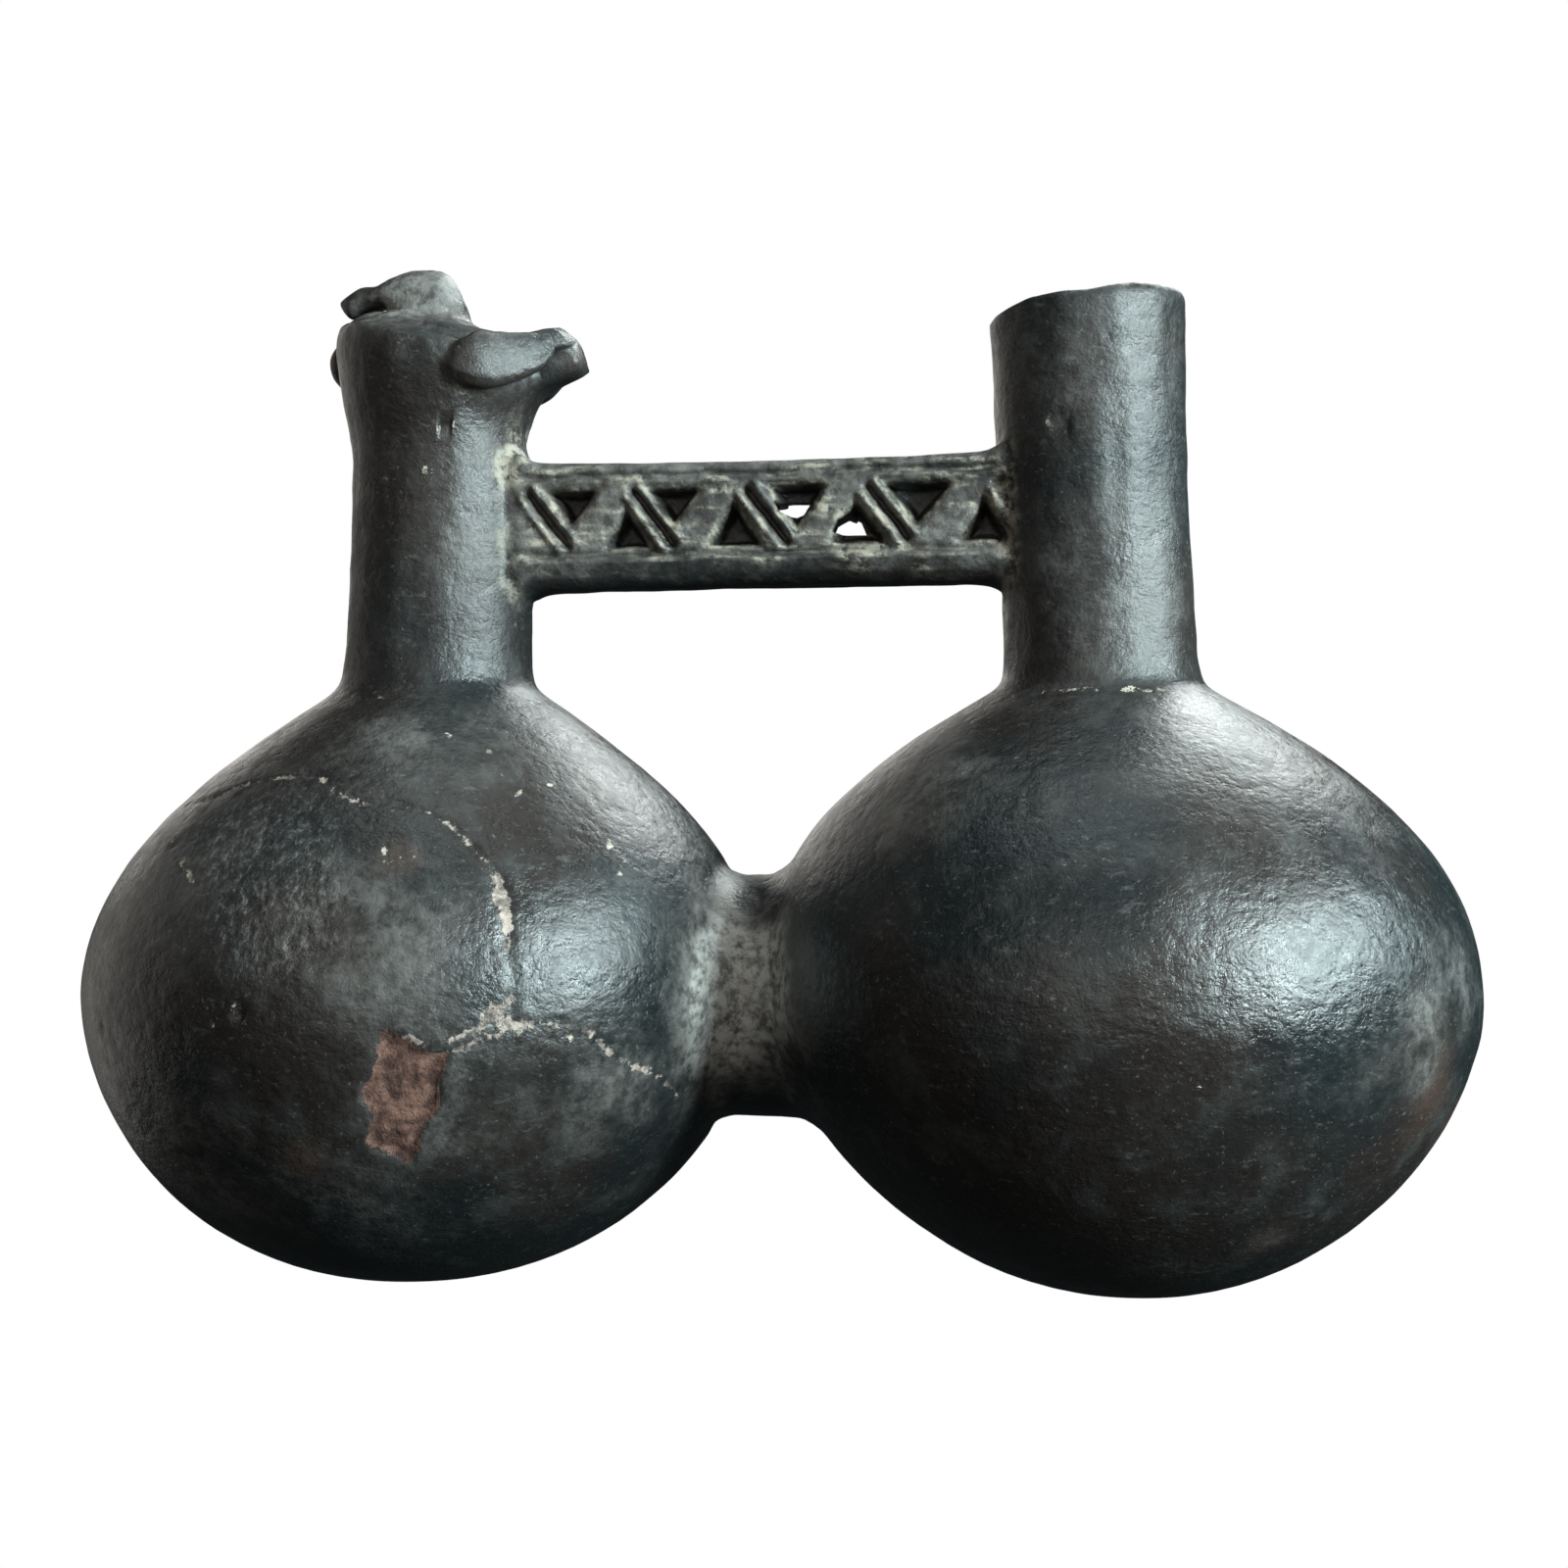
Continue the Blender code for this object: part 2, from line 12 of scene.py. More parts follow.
import bpy
import numpy as np
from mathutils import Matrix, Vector


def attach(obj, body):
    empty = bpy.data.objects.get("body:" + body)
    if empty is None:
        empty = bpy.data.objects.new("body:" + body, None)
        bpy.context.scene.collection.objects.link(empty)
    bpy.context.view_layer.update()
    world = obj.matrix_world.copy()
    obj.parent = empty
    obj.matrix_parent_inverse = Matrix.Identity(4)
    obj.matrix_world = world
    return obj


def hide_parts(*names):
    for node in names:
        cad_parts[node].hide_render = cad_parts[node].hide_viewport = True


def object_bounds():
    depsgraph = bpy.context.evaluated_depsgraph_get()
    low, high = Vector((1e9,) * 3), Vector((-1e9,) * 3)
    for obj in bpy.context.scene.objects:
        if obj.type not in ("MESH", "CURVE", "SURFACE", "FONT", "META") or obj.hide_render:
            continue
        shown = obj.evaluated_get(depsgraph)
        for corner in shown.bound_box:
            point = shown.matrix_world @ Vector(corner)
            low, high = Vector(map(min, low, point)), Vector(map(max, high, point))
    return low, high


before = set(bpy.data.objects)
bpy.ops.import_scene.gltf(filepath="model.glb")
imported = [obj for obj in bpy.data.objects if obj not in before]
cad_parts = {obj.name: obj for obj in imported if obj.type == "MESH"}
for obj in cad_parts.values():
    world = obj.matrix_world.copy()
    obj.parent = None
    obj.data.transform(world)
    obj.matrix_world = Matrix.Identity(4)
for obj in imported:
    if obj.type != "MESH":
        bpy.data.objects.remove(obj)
cad_box = [list(corner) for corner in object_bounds()]
print("CAD box in metres:", cad_box)

# %% [markdown]
# Sizes. Everything below is in millimetres, and turned into metres only when a mesh is made.
# They are the same driving sizes as the solid's, because this piece takes the solid's place.

# %% Sizes of the vessel
METRES = 0.001
OVERALL_WIDTH = 226.5
EQUATOR = 46.1
WALL = 4.5
FOOT_RADIUS = 12.0
NECK_RADIUS = 14.8
NECK_WALL = 3.6
NECK_JOINT = 95.0
NECK_FILLET = 2.4
SPOUT_TOP = 158.9
LIP_ROUND = 2.2
LIP_DIP = 1.8
LIP_DROP = 1.5
LIP_RISE = 1.0
LIP_FADE = 8.0
LEDGE_HEIGHT = 152.4
CROWN_FLARE = 2.6
CROWN_SLOPE = 0.24
CROWN_PINCH = 1.7
TUBE_RADIUS = 19.6
LEFT = {"radius": 55.6, "rise": 58.4, "shoulder": 2.10, "belly": (1.775, 0.453), "lean": 0.035, "sway": -1.4}
RIGHT = {"radius": 57.0, "rise": 57.0, "shoulder": 2.42, "belly": (1.60, 0.484), "lean": -0.051, "sway": 0.6}
LEFT["axis"] = LEFT["radius"] - OVERALL_WIDTH / 2
RIGHT["axis"] = OVERALL_WIDTH / 2 - RIGHT["radius"]


def axis_x(bottle, z):
    """X of a bottle's axis at height z: its lean times the height over the equator, plus a cubic sway."""
    up = np.clip((z - NECK_JOINT) / (SPOUT_TOP - NECK_JOINT), 0, 2)
    return bottle["axis"] + bottle["lean"] * (z - EQUATOR) + bottle["sway"] * up**3


# %% [markdown]
# A closed surface from rings.
# A lathe, a loft and a swept tube are the same thing to a mesh: rings of points, one after another, with a
# quad between each pair of neighbours and a fan of triangles to close each end. So one helper makes them all
# from an array of shape (rings, points, 3). Spin or Screw would do it for round forms only.

# %% Rings to a closed mesh
def ring_faces(rings, points):
    """Corner numbers of the quads between rings, and of the two fans that close the ends."""
    start = np.arange(rings - 1)[:, None] * points
    here, there = np.arange(points), (np.arange(points) + 1) % points
    quads = np.stack([start + here, start + there, start + points + there, start + points + here], -1)
    low, high = rings * points, rings * points + 1
    last = (rings - 1) * points
    first_fan = np.stack([np.full(points, low), there, here], -1)
    last_fan = np.stack([np.full(points, high), last + here, last + there], -1)
    return quads.reshape(-1, 4), np.concatenate([first_fan, last_fan])


def signed_volume(points, triangles):
    """A sixth of the sum of a . (b x c) over all triangles: positive when the faces point outwards."""
    a, b, c = (points[triangles[:, corner]] for corner in range(3))
    return float(np.einsum("ij,ij->i", a, np.cross(b, c)).sum() / 6)


def surface_object(name, rings):
    """An object from an array of rings in millimetres, closed at both ends, with its faces outwards."""
    count, points = rings.shape[:2]
    places = np.concatenate([rings.reshape(-1, 3), rings[:1].mean(1), rings[-1:].mean(1)])
    quads, fans = ring_faces(count, points)
    triangles = np.concatenate([quads[:, :3], quads[:, [0, 2, 3]], fans])
    if signed_volume(places, triangles) < 0:
        quads, fans = quads[:, ::-1], fans[:, ::-1]
    mesh = bpy.data.meshes.new(name)
    mesh.from_pydata((places * METRES).tolist(), [], quads.tolist() + fans.tolist())
    mesh.validate()
    thing = bpy.data.objects.new(name, mesh)
    bpy.context.scene.collection.objects.link(thing)
    print(f"{name}: {len(quads) + len(fans)} faces")
    return thing


# %% [markdown]
# Fine where the eye looks, coarse where it doesn't.
# The front of the left chamber carries the crack and the scar, so its grid lines lie three quarters of a
# millimetre apart. The back needs a quarter of that. A path is measured in steps of the wished spacing, and
# the grid lines are placed at whole steps.

# %% Graded steps along a path
def graded(length, spacing):
    """Places along a path (its length at each sample, the wished spacing there), one wished step apart."""
    steps = np.diff(length) / (0.5 * (spacing[1:] + spacing[:-1]))
    passed = np.concatenate([[0.0], np.cumsum(steps)])
    count = int(math.ceil(passed[-1]))
    return np.interp(np.linspace(0, passed[-1], count + 1), passed, length)


def path_length(points):
    """Running length along a line of points."""
    return np.concatenate([[0.0], np.cumsum(np.linalg.norm(np.diff(points, axis=0), axis=1))])


def eased(knots, values, at):
    """A smooth curve through given points: a cubic between two knots, with slopes by differences."""
    knots, values = np.asarray(knots, float), np.asarray(values, float)
    slopes = np.gradient(values, knots)
    span = np.clip(np.searchsorted(knots, at) - 1, 0, len(knots) - 2)
    width = knots[span + 1] - knots[span]
    t = np.clip((at - knots[span]) / width, 0, 1)
    rise = values[span + 1] - values[span]
    bend = t * (1 - t) * ((slopes[span] * width - rise) * (1 - t) + (rise - slopes[span + 1] * width) * t)
    return values[span] + rise * t + bend


def smooth_step(low, high, x):
    """0 below low, 1 above high, and 3t^2 - 2t^3 between."""
    t = np.clip((x - low) / (high - low), 0, 1)
    return t * t * (3 - 2 * t)


# %% [markdown]
# The bottles.
# Such bottles are built up by hand or in a mould, and are round in plan but not half circles in profile:
# the shoulder falls as R (1 - u^p), the belly as R (1 - u^p)^q. A lathe profile carries both, then the neck.

# %% Profiles of the two bottles
def larger(a, b, fillet):
    """The larger of two radii, with a rounded change from one to the other."""
    return (a + b + np.sqrt((a - b) ** 2 + fillet**2)) / 2


def chamber_outline(bottle, wall):
    """(radius, z) from the middle of the foot up to the equator, moved in and up by a wall's thickness."""
    radius = bottle["radius"] - wall
    power, root = bottle["belly"]
    at_foot = (1 - (FOOT_RADIUS / radius) ** (1 / root)) ** (1 / power)
    share = np.sin(np.linspace(math.asin(at_foot), 0, 400))
    z = EQUATOR - (EQUATOR - wall) * share / at_foot
    belly = np.stack([radius * (1 - share**power) ** root, z], -1)
    foot = np.stack([np.linspace(0.6, FOOT_RADIUS, 12)[:-1], np.full(11, wall)], -1)
    return np.concatenate([foot, belly])


def shoulder_outline(bottle, wall, neck, top, extra):
    """(radius, z) from the equator up the shoulder and the neck to z = top; extra(z) widens the neck."""
    z = np.linspace(EQUATOR, top, 900)[1:]
    share = np.clip((z - EQUATOR) / (bottle["rise"] - wall), 0, 1)
    shoulder = (bottle["radius"] - wall) * (1 - share ** bottle["shoulder"])
    neck_here = neck + 0.9 * np.exp(-np.maximum(0, z - NECK_JOINT) / 8.0) + extra(z)
    return np.stack([larger(shoulder, neck_here, NECK_FILLET), z], -1)


def crown_flare(z):
    """The bird's neck widens towards the ledge under its body."""
    return CROWN_FLARE * smooth_step(133.0, 151.0, z)


def lip_swell(z):
    """The spout widens a little towards its lip."""
    return 0.8 * np.exp((z - SPOUT_TOP) / 30.0)


def no_swell(z):
    """A neck that keeps its radius."""
    return 0.0 * z


# %% Arcs
def arc(centre, radius, start, end, count):
    """(r, z) points on a circle's arc, angles in degrees from +r."""
    turn = np.radians(np.linspace(start, end, count))
    return np.stack([centre[0] + radius * np.cos(turn), centre[1] + radius * np.sin(turn)], -1)


# %% Turned surfaces of the bottles
def turned(name, bottle, outline, spacing, angles, change=None):
    """Each profile point (r, z) becomes a ring: x = axis + r sin(t), y = -r cos(t), with t = 0 in front."""
    length = path_length(outline)
    rows = graded(length, np.interp(outline[:, 1], *spacing))
    r, z = (np.interp(rows, length, outline[:, part]) for part in (0, 1))
    x = axis_x(bottle, z)[:, None] + r[:, None] * np.sin(angles)
    y = -r[:, None] * np.cos(angles)
    rings = np.stack([x, y, np.broadcast_to(z[:, None], x.shape)], -1)
    if change:
        rings = change(rings)
    return surface_object(name, rings)


def dipped_lip(rings):
    """The lip slopes down by LIP_DIP to the bird's side, drops at that corner and rises a little opposite."""
    side = (rings[..., 0] - axis_x(RIGHT, SPOUT_TOP)) / NECK_RADIUS
    fade = np.clip(1 + (rings[..., 2] - SPOUT_TOP) / LIP_FADE, 0, 1)
    rings[..., 2] += fade * (LIP_DIP / 2 * (side - 1) + LIP_RISE * smooth_step(0.0, 0.8, side))
    rings[..., 2] -= LIP_DROP * fade * smooth_step(-0.5, -1.05, side)
    return rings


def tilted_crown(rings):
    """The bird's back slopes to its tail, the breast is drawn in, and the neck pinched under the tail."""
    z = rings[..., 2]
    side = (rings[..., 0] - axis_x(LEFT, z)) / NECK_RADIUS
    rings[..., 0] -= CROWN_PINCH * np.exp(-(((z - 139.5) / 5.0) ** 2)) * smooth_step(0.2, 1.0, side)
    rings[..., 0] += 0.8 * smooth_step(149.0, 153.0, z) * smooth_step(-0.3, -1.0, side)
    fade = smooth_step(141.0, 152.0, z)
    rings[..., 2] -= CROWN_SLOPE * fade * (rings[..., 0] - axis_x(LEFT, LEDGE_HEIGHT))
    return rings


def angles_round(radius, fine, coarse, fine_to):
    """Angles all round from the front (0): fine steps within fine_to degrees of it, coarse at the back."""
    t = np.linspace(-math.pi, math.pi, 2001)
    spacing = np.interp(np.abs(np.degrees(t)), (fine_to, fine_to + 35, 180), (fine, coarse, coarse))
    return graded(t * radius, spacing)[:-1] / radius


# %% Left and right profile
def crown_profile():
    """The left bottle's profile: the neck ends in a ledge, and the bird's body rises as a low cone."""
    wall = shoulder_outline(LEFT, 0, NECK_RADIUS, LEDGE_HEIGHT - 0.5, crown_flare)
    rim = wall[-1, 0]
    ledge = arc((rim - 0.8, LEDGE_HEIGHT - 0.5), 0.8, 0, 62, 6)[1:]
    cone = [(rim - 3.0, LEDGE_HEIGHT + 1.3), (11.5, 155.3), (8.0, 157.0), (4.0, 158.2), (0.6, 158.5)]
    return np.concatenate([chamber_outline(LEFT, 0), wall, ledge, np.array(cone)])


def spout_profile():
    """The right bottle's profile: the neck ends in a lip rounded outwards, closed until it is bored."""
    wall = shoulder_outline(RIGHT, 0, NECK_RADIUS, SPOUT_TOP - LIP_ROUND, lip_swell)
    lip = arc((wall[-1, 0] - LIP_ROUND, SPOUT_TOP - LIP_ROUND), LIP_ROUND, 0, 90, 12)[1:]
    flat = np.stack([np.linspace(lip[-1, 0], 0.6, 8)[1:], np.full(7, SPOUT_TOP)], -1)
    return np.concatenate([chamber_outline(RIGHT, 0), wall, lip, flat])


# %% Both bottles
# Wished spacing of the grid's rows: heights first, then the spacing at each.
LEFT_ROWS = (4, 18, 24, 82, 90, 98, 104, 146, 150), (2.8, 1.8, 0.74, 0.74, 1.1, 0.8, 1.3, 1.1, 0.6)
RIGHT_ROWS = (4, 14, 28, 88, 94, 98, 104, 150, 156), (3.2, 2.2, 1.7, 1.7, 0.9, 0.9, 1.6, 1.4, 0.45)
left_angles = angles_round(LEFT["radius"], 0.74, 3.4, 56)
right_angles = angles_round(RIGHT["radius"], 1.7, 3.4, 60)
left_bottle = turned("left_bottle", LEFT, crown_profile(), LEFT_ROWS, left_angles, tilted_crown)
right_bottle = turned("right_bottle", RIGHT, spout_profile(), RIGHT_ROWS, right_angles, dipped_lip)

# %% [markdown]
# The tube between the chambers.
# It is a short drum that opens out at both ends, where the wet clay was smeared over the joint.

# %% Tube between the chambers
TUBE_MIDDLE = (LEFT["axis"] + LEFT["radius"] + RIGHT["axis"] - RIGHT["radius"]) / 2
TUBE_REACH = 22.0


def drum(name, radius, flare, reach, steps, points):
    """Rings round X: r = radius + flare s^2, where s runs from 0 in the straight middle to 1 at the ends."""
    x = np.linspace(-reach, reach, steps)
    share = np.clip(np.abs(x) - 2.5, 0, None) / (reach - 2.5)
    r = radius + flare * share**2
    t = np.linspace(0, math.tau, points, endpoint=False)
    y, z = r[:, None] * np.cos(t), EQUATOR + r[:, None] * np.sin(t)
    return surface_object(name, np.stack([np.broadcast_to(TUBE_MIDDLE + x[:, None], y.shape), y, z], -1))


tube = drum("tube_outside", TUBE_RADIUS, 5.0, TUBE_REACH, 34, 96)

# %% [markdown]
# The bridge, and its openwork.
# The potter cut triangles out of a thick strap, alternately hanging and standing, so that a zigzag of bars
# is left between two plain borders. Cutting them with Booleans would give edges as sharp as a machine's.
# Here the strap's own faces are pushed in where a triangle is, with a wall that slopes a little, and every
# line is bent by a little noise, as a hand would do it. Dirt has filled six of the eight holes.

# %% Noise on a lattice
def lattice_noise(points, cell, seed):
    """Random heights from -1 to 1 at the corners of a lattice, blended inside each cell by 3t^2 - 2t^3."""
    q = points / np.asarray(cell, float)
    base = np.floor(q).astype(np.int64)
    t = q - base
    t = t * t * (3 - 2 * t)
    total = np.zeros(len(points))
    for corner in np.ndindex(2, 2, 2):
        place = base + corner
        mixed = (place * (73856093, 19349663, 83492791)).sum(1) + seed * 2654435761
        mixed = (mixed ^ (mixed >> 13)) * 1274126177 & 0xFFFFFFFF
        mixed = (mixed ^ (mixed >> 16)) & 0xFFFF
        share = np.where(corner, t, 1 - t).prod(1)
        total += share * (mixed / 32767.5 - 1)
    return total


def cloud(points, cell, seed, octaves=3):
    """Lattice noise, plus half as much at half the size, and so on."""
    cell = np.asarray(cell, float)
    total = np.zeros(len(points))
    for octave in range(octaves):
        total += lattice_noise(points + 17.3 * octave, cell / 2**octave, seed + octave) / 2**octave
    return total / (2 - 0.5 ** (octaves - 1))


# %% Places of the carving
BRIDGE_BOTTOM = 112.4
BRIDGE_TOP = 133.5
BRIDGE_DEPTH = 17.0
BRIDGE_CLIMB = 1.3
FIELD_TOP = 129.0
FIELD_BOTTOM = 118.4
HOLE_PITCH = 9.5
HOLE_WIDTHS = (8.0, 7.0, 8.4, 8.4, 8.6, 8.6, 10.6, 7.6)
HOLE_RISES = (5.4, 5.2, 5.4, 6.2, 6.4, 6.2, 6.2, 6.2)
HOLE_SHIFTS = (-0.6, 0.0, -1.3, -0.6, 0.0, 0.0, -0.3, 0.0)
HOLE_COUNT = len(HOLE_WIDTHS)
HOLE_MARGIN = 0.7
POCKET_DEPTH = 6.2
FIELD_MIDDLE = (FIELD_TOP + FIELD_BOTTOM) / 2
BRIDGE_ENDS = float(axis_x(LEFT, FIELD_MIDDLE)), float(axis_x(RIGHT, FIELD_MIDDLE))


def hole_place(steps):
    """X of a hole, counted in holes from the middle of the row; the middle ones drift towards the bird."""
    share = 2 * steps / (HOLE_COUNT - 1)
    return sum(BRIDGE_ENDS) / 2 + 3.2 + HOLE_PITCH * steps - 1.8 * (1 - share**2)


def climb(x):
    """The bridge climbs BRIDGE_CLIMB from neck to neck, half of it below its middle height at the left."""
    return BRIDGE_CLIMB * ((x - BRIDGE_ENDS[0]) / (BRIDGE_ENDS[1] - BRIDGE_ENDS[0]) - 0.5)


def triangle_depth(x, z, index):
    """How far inside hole `index` a point (x, z) lies: the least distance to its three sides."""
    middle = hole_place(index - (HOLE_COUNT - 1) / 2) + HOLE_SHIFTS[index]
    rise, width = HOLE_RISES[index], HOLE_WIDTHS[index]
    hanging = index % 2 == 0
    base = FIELD_TOP - HOLE_MARGIN if hanging else FIELD_BOTTOM + HOLE_MARGIN
    from_base = (base - z) if hanging else (z - base)
    slope = rise / (width / 2)
    from_sides = (rise - from_base - slope * np.abs(x - middle)) / math.hypot(1, slope)
    return np.minimum(from_base, from_sides)


# %% Place of a bar
def bar_line(x, z, steps):
    """Distance across a bar that falls to the right, from its middle line, and 1 along the bar's length."""
    middle = hole_place(steps)
    run, fall = HOLE_PITCH * 0.42, FIELD_TOP - FIELD_BOTTOM
    size = math.hypot(2 * run, fall)
    across = ((x - middle) * fall + (z - FIELD_MIDDLE) * 2 * run) / size
    along = np.abs((x - middle) * 2 * run - (z - FIELD_MIDDLE) * fall) / size
    return across, 1 - smooth_step(size * 0.38, size * 0.48, along)


# %% Depth of the carving at a point of the face
def carving_depth(x, z, seed):
    """Millimetres cut into the strap's face at (x, z), less where a ridge was left standing."""
    place = np.stack([x, z, np.full_like(x, seed * 31.0)], -1)
    z = z - climb(x)
    x = x + 0.40 * cloud(place, 3.4, seed)
    z = z + 0.38 * cloud(place, 3.0, seed + 5)
    depth = np.zeros_like(x)
    for index in range(HOLE_COUNT):
        within = triangle_depth(x, z, index)
        pocket = 1.3 * smooth_step(-1.1, 0.2, within) + (POCKET_DEPTH - 1.3) * smooth_step(0.0, 0.6, within)
        depth = np.maximum(depth, pocket)
    for steps in range(-HOLE_COUNT // 2, HOLE_COUNT // 2 + 1, 2):
        across, along = bar_line(x, z, steps)
        groove = 2.1 * np.exp(-((across / 0.62) ** 2))
        ridges = 0.75 * (np.exp(-(((across - 1.5) / 0.6) ** 2)) + np.exp(-(((across + 1.5) / 0.6) ** 2)))
        depth += along * (groove - ridges)
    wave = 0.35 * cloud(place, (9.0, 50.0, 9.0), seed + 20)
    for height, cut in ((FIELD_TOP + 1.4, 1.2), (FIELD_BOTTOM - 0.6, 1.6)):
        depth += cut * np.exp(-(((z + wave - height) / 0.55) ** 2))
    depth += 0.6 * smooth_step(FIELD_BOTTOM - 0.6, FIELD_BOTTOM + 0.9, z) * smooth_step(
        FIELD_TOP + 1.2, FIELD_TOP - 0.2, z
    )
    depth += 0.22 * cloud(place, 1.6, seed + 9) + 0.16 * cloud(place, 4.0, seed + 11)
    left, right = BRIDGE_ENDS
    inside = smooth_step(left + 11.0, left + 13.0, x) * smooth_step(right - 10.5, right - 12.5, x)
    return depth * inside


# %% The strap as a loft
def strap_section(front_step, back_step):
    """(y, z) shares round the section, -1 to 1: a box, rounded more below than above, fine on its faces."""
    half_y, half_z, below, above = BRIDGE_DEPTH / 2, (BRIDGE_TOP - BRIDGE_BOTTOM) / 2, 4.4, 2.4
    corners = ((1, 1, 0, above), (-1, 1, 90, above), (-1, -1, 180, below), (1, -1, 270, below))
    outline = [arc((y * (half_y - r), z * (half_z - r)), r, turn, turn + 90, 40) for y, z, turn, r in corners]
    for low in (2, 3):
        chamfer = np.linspace(outline[low][0], outline[low][-1], 40)
        outline[low] = 0.45 * outline[low] + 0.55 * chamfer
    outline = np.concatenate(outline + [outline[0][:1]])
    length = path_length(outline)
    dense = np.linspace(0, length[-1], 3000)
    y, z = (np.interp(dense, length, outline[:, part]) for part in (0, 1))
    front, back = smooth_step(-4.5, -7.5, y), smooth_step(4.5, 7.5, y)
    rows = graded(dense, 1.5 + (front_step - 1.5) * front + (back_step - 1.5) * back)[:-1]
    return np.interp(rows, dense, y) / half_y, np.interp(rows, dense, z) / half_z


def strap():
    """Sections along X, whose edges sag 0.9 mm between the necks and swell where they meet them."""
    left, right = BRIDGE_ENDS
    dense = np.linspace(left, right, 2001)
    near_end = np.minimum(dense - left, right - dense)
    x = graded(dense, np.interp(near_end, (9.0, 11.0), (2.5, 0.47)))
    share_y, share_z = strap_section(0.44, 0.75)
    gap = np.clip(np.minimum(x - left, right - x) - NECK_RADIUS, 0, None)
    fillet = 1.5 * np.exp(-gap / 1.4)
    sag = 0.9 * np.sin(math.pi * (x - left) / (right - left))
    low, high = BRIDGE_BOTTOM + sag / 3 - fillet + climb(x), BRIDGE_TOP - sag + fillet + climb(x)
    z = (low + high)[:, None] / 2 + share_z * (high - low)[:, None] / 2
    y = share_y * (BRIDGE_DEPTH / 2 + fillet / 4)[:, None]
    x = np.broadcast_to(x[:, None], y.shape)
    flat = (x.ravel(), z.ravel())
    front = smooth_step(-6.2, -7.9, y) * carving_depth(*flat, 3).reshape(y.shape)
    back = smooth_step(6.2, 7.9, y) * carving_depth(*flat, 8).reshape(y.shape)
    return surface_object("strap", np.stack([x, y + front - back, z], -1))


bridge = strap()

# %% [markdown]
# The bird.
# It sits on the closed neck: a round head with a blunt beak that overhangs the breast, folded wings that
# run back along the sides, and a square tail held up by a web of clay. Each is a loft: an outline from the
# side gives the top and the bottom, and a width turns it into sections.

# %% Loft along X from a side outline
def side_loft(name, x, top, bottom, half_width, points=40, square=2.0, lean=None):
    """Sections x = const: a super-ellipse between top(x) and bottom(x), as wide as half_width(x)."""
    t = np.linspace(0, math.tau, points, endpoint=False)
    shape_y = np.sign(np.cos(t)) * np.abs(np.cos(t)) ** (2 / square)
    shape_z = np.sign(np.sin(t)) * np.abs(np.sin(t)) ** (2 / square)
    middle, half = (top + bottom) / 2, (top - bottom) / 2
    y = half_width[:, None] * shape_y
    z = middle[:, None] + half[:, None] * shape_z
    x = np.broadcast_to(x[:, None], y.shape)
    if lean:
        x = x + lean(x, z)
    return surface_object(name, np.stack([x, y, z], -1))


def close_in(low, high, count):
    """Stations between two places, closer together near both ends, where a form rounds off."""
    return low + (high - low) * (1 - np.cos(np.linspace(0.06, math.pi - 0.06, count))) / 2


def dome(name, centre, radii, rings=30, points=56):
    """An ellipsoid by its centre and its three radii, with its poles on X."""
    t = np.linspace(0.05, math.pi - 0.05, rings)[:, None]
    turn = np.linspace(0, math.tau, points, endpoint=False)
    x = centre[0] - radii[0] * np.cos(t) * np.ones(points)
    y = centre[1] + radii[1] * np.sin(t) * np.cos(turn)
    z = centre[2] + radii[2] * np.sin(t) * np.sin(turn)
    return surface_object(name, np.stack([x, y, z], -1))


# %% Domes and tapering rods
def swept(name, path, radii_up, radii_out, count, points=28, undercut=0.0):
    """A tapering rod along a smooth path; undercut pushes its lower side outwards, to leave a sharp edge."""
    path = np.asarray(path, float)
    knots = path_length(path)
    at = close_in(0, knots[-1], count)
    centre = np.stack([eased(knots, path[:, part], at) for part in range(3)], -1)
    along = np.gradient(centre, at, axis=0)
    along /= np.linalg.norm(along, axis=1, keepdims=True)
    out = np.cross(along, (0, 0, 1.0)) * np.sign(undercut or 1)
    out /= np.linalg.norm(out, axis=1, keepdims=True)
    up = np.stack([-along[:, 0] * along[:, 2], -along[:, 1] * along[:, 2], 1 - along[:, 2] ** 2], -1)
    up /= np.linalg.norm(up, axis=1, keepdims=True)
    end = np.sqrt(np.clip(1 - (2 * at / knots[-1] - 1) ** 6, 0, 1))
    rise = (eased(knots, radii_up, at) * end)[:, None, None]
    wide = (eased(knots, radii_out, at) * end)[:, None, None]
    t = np.linspace(0, math.tau, points, endpoint=False)[None, :, None]
    outwards = np.cos(t) + abs(undercut) * np.clip(-np.sin(t), 0, 1) ** 2
    rings = centre[:, None] + wide * outwards * out[:, None] + rise * np.sin(t) * up[:, None]
    return surface_object(name, rings)


# %% Head, beak and breast
def head_and_beak():
    """Outlines of the head from the side, from the tip of the beak to the nape."""
    x = close_in(-72.1, -50.0, 62)
    top = eased((-72.1, -69.6, -65.9, -63.0, -60.6, -58.0, -55.6, -54.1, -52.6, -51.2, -50.0),
                (160.6, 162.4, 163.1, 164.4, 165.2, 165.4, 165.3, 164.5, 162.2, 159.0, 154.0), x)
    bottom = eased((-72.1, -70.6, -68.6, -66.0, -64.0, -62.6, -60.5, -57.0, -52.0, -50.0),
                   (160.0, 158.2, 158.7, 159.1, 159.0, 157.0, 153.0, 151.5, 151.5, 152.5), x)
    half_width = eased((-72.1, -70.6, -67.0, -63.0, -58.5, -54.0, -51.5, -50.0),
                       (0.8, 2.6, 3.7, 5.0, 6.7, 6.3, 4.6, 1.5), x)
    return side_loft("head_and_beak", x, top, bottom, half_width, points=52)


# %% Tail and its web
def end_lean(x, z):
    """The end of the tail slants: the lower a point beyond x = -37, the further out it goes."""
    return 3.3 * smooth_step(-38.0, -33.6, x) * np.clip((155.6 - z) / 6.0, 0, 1)


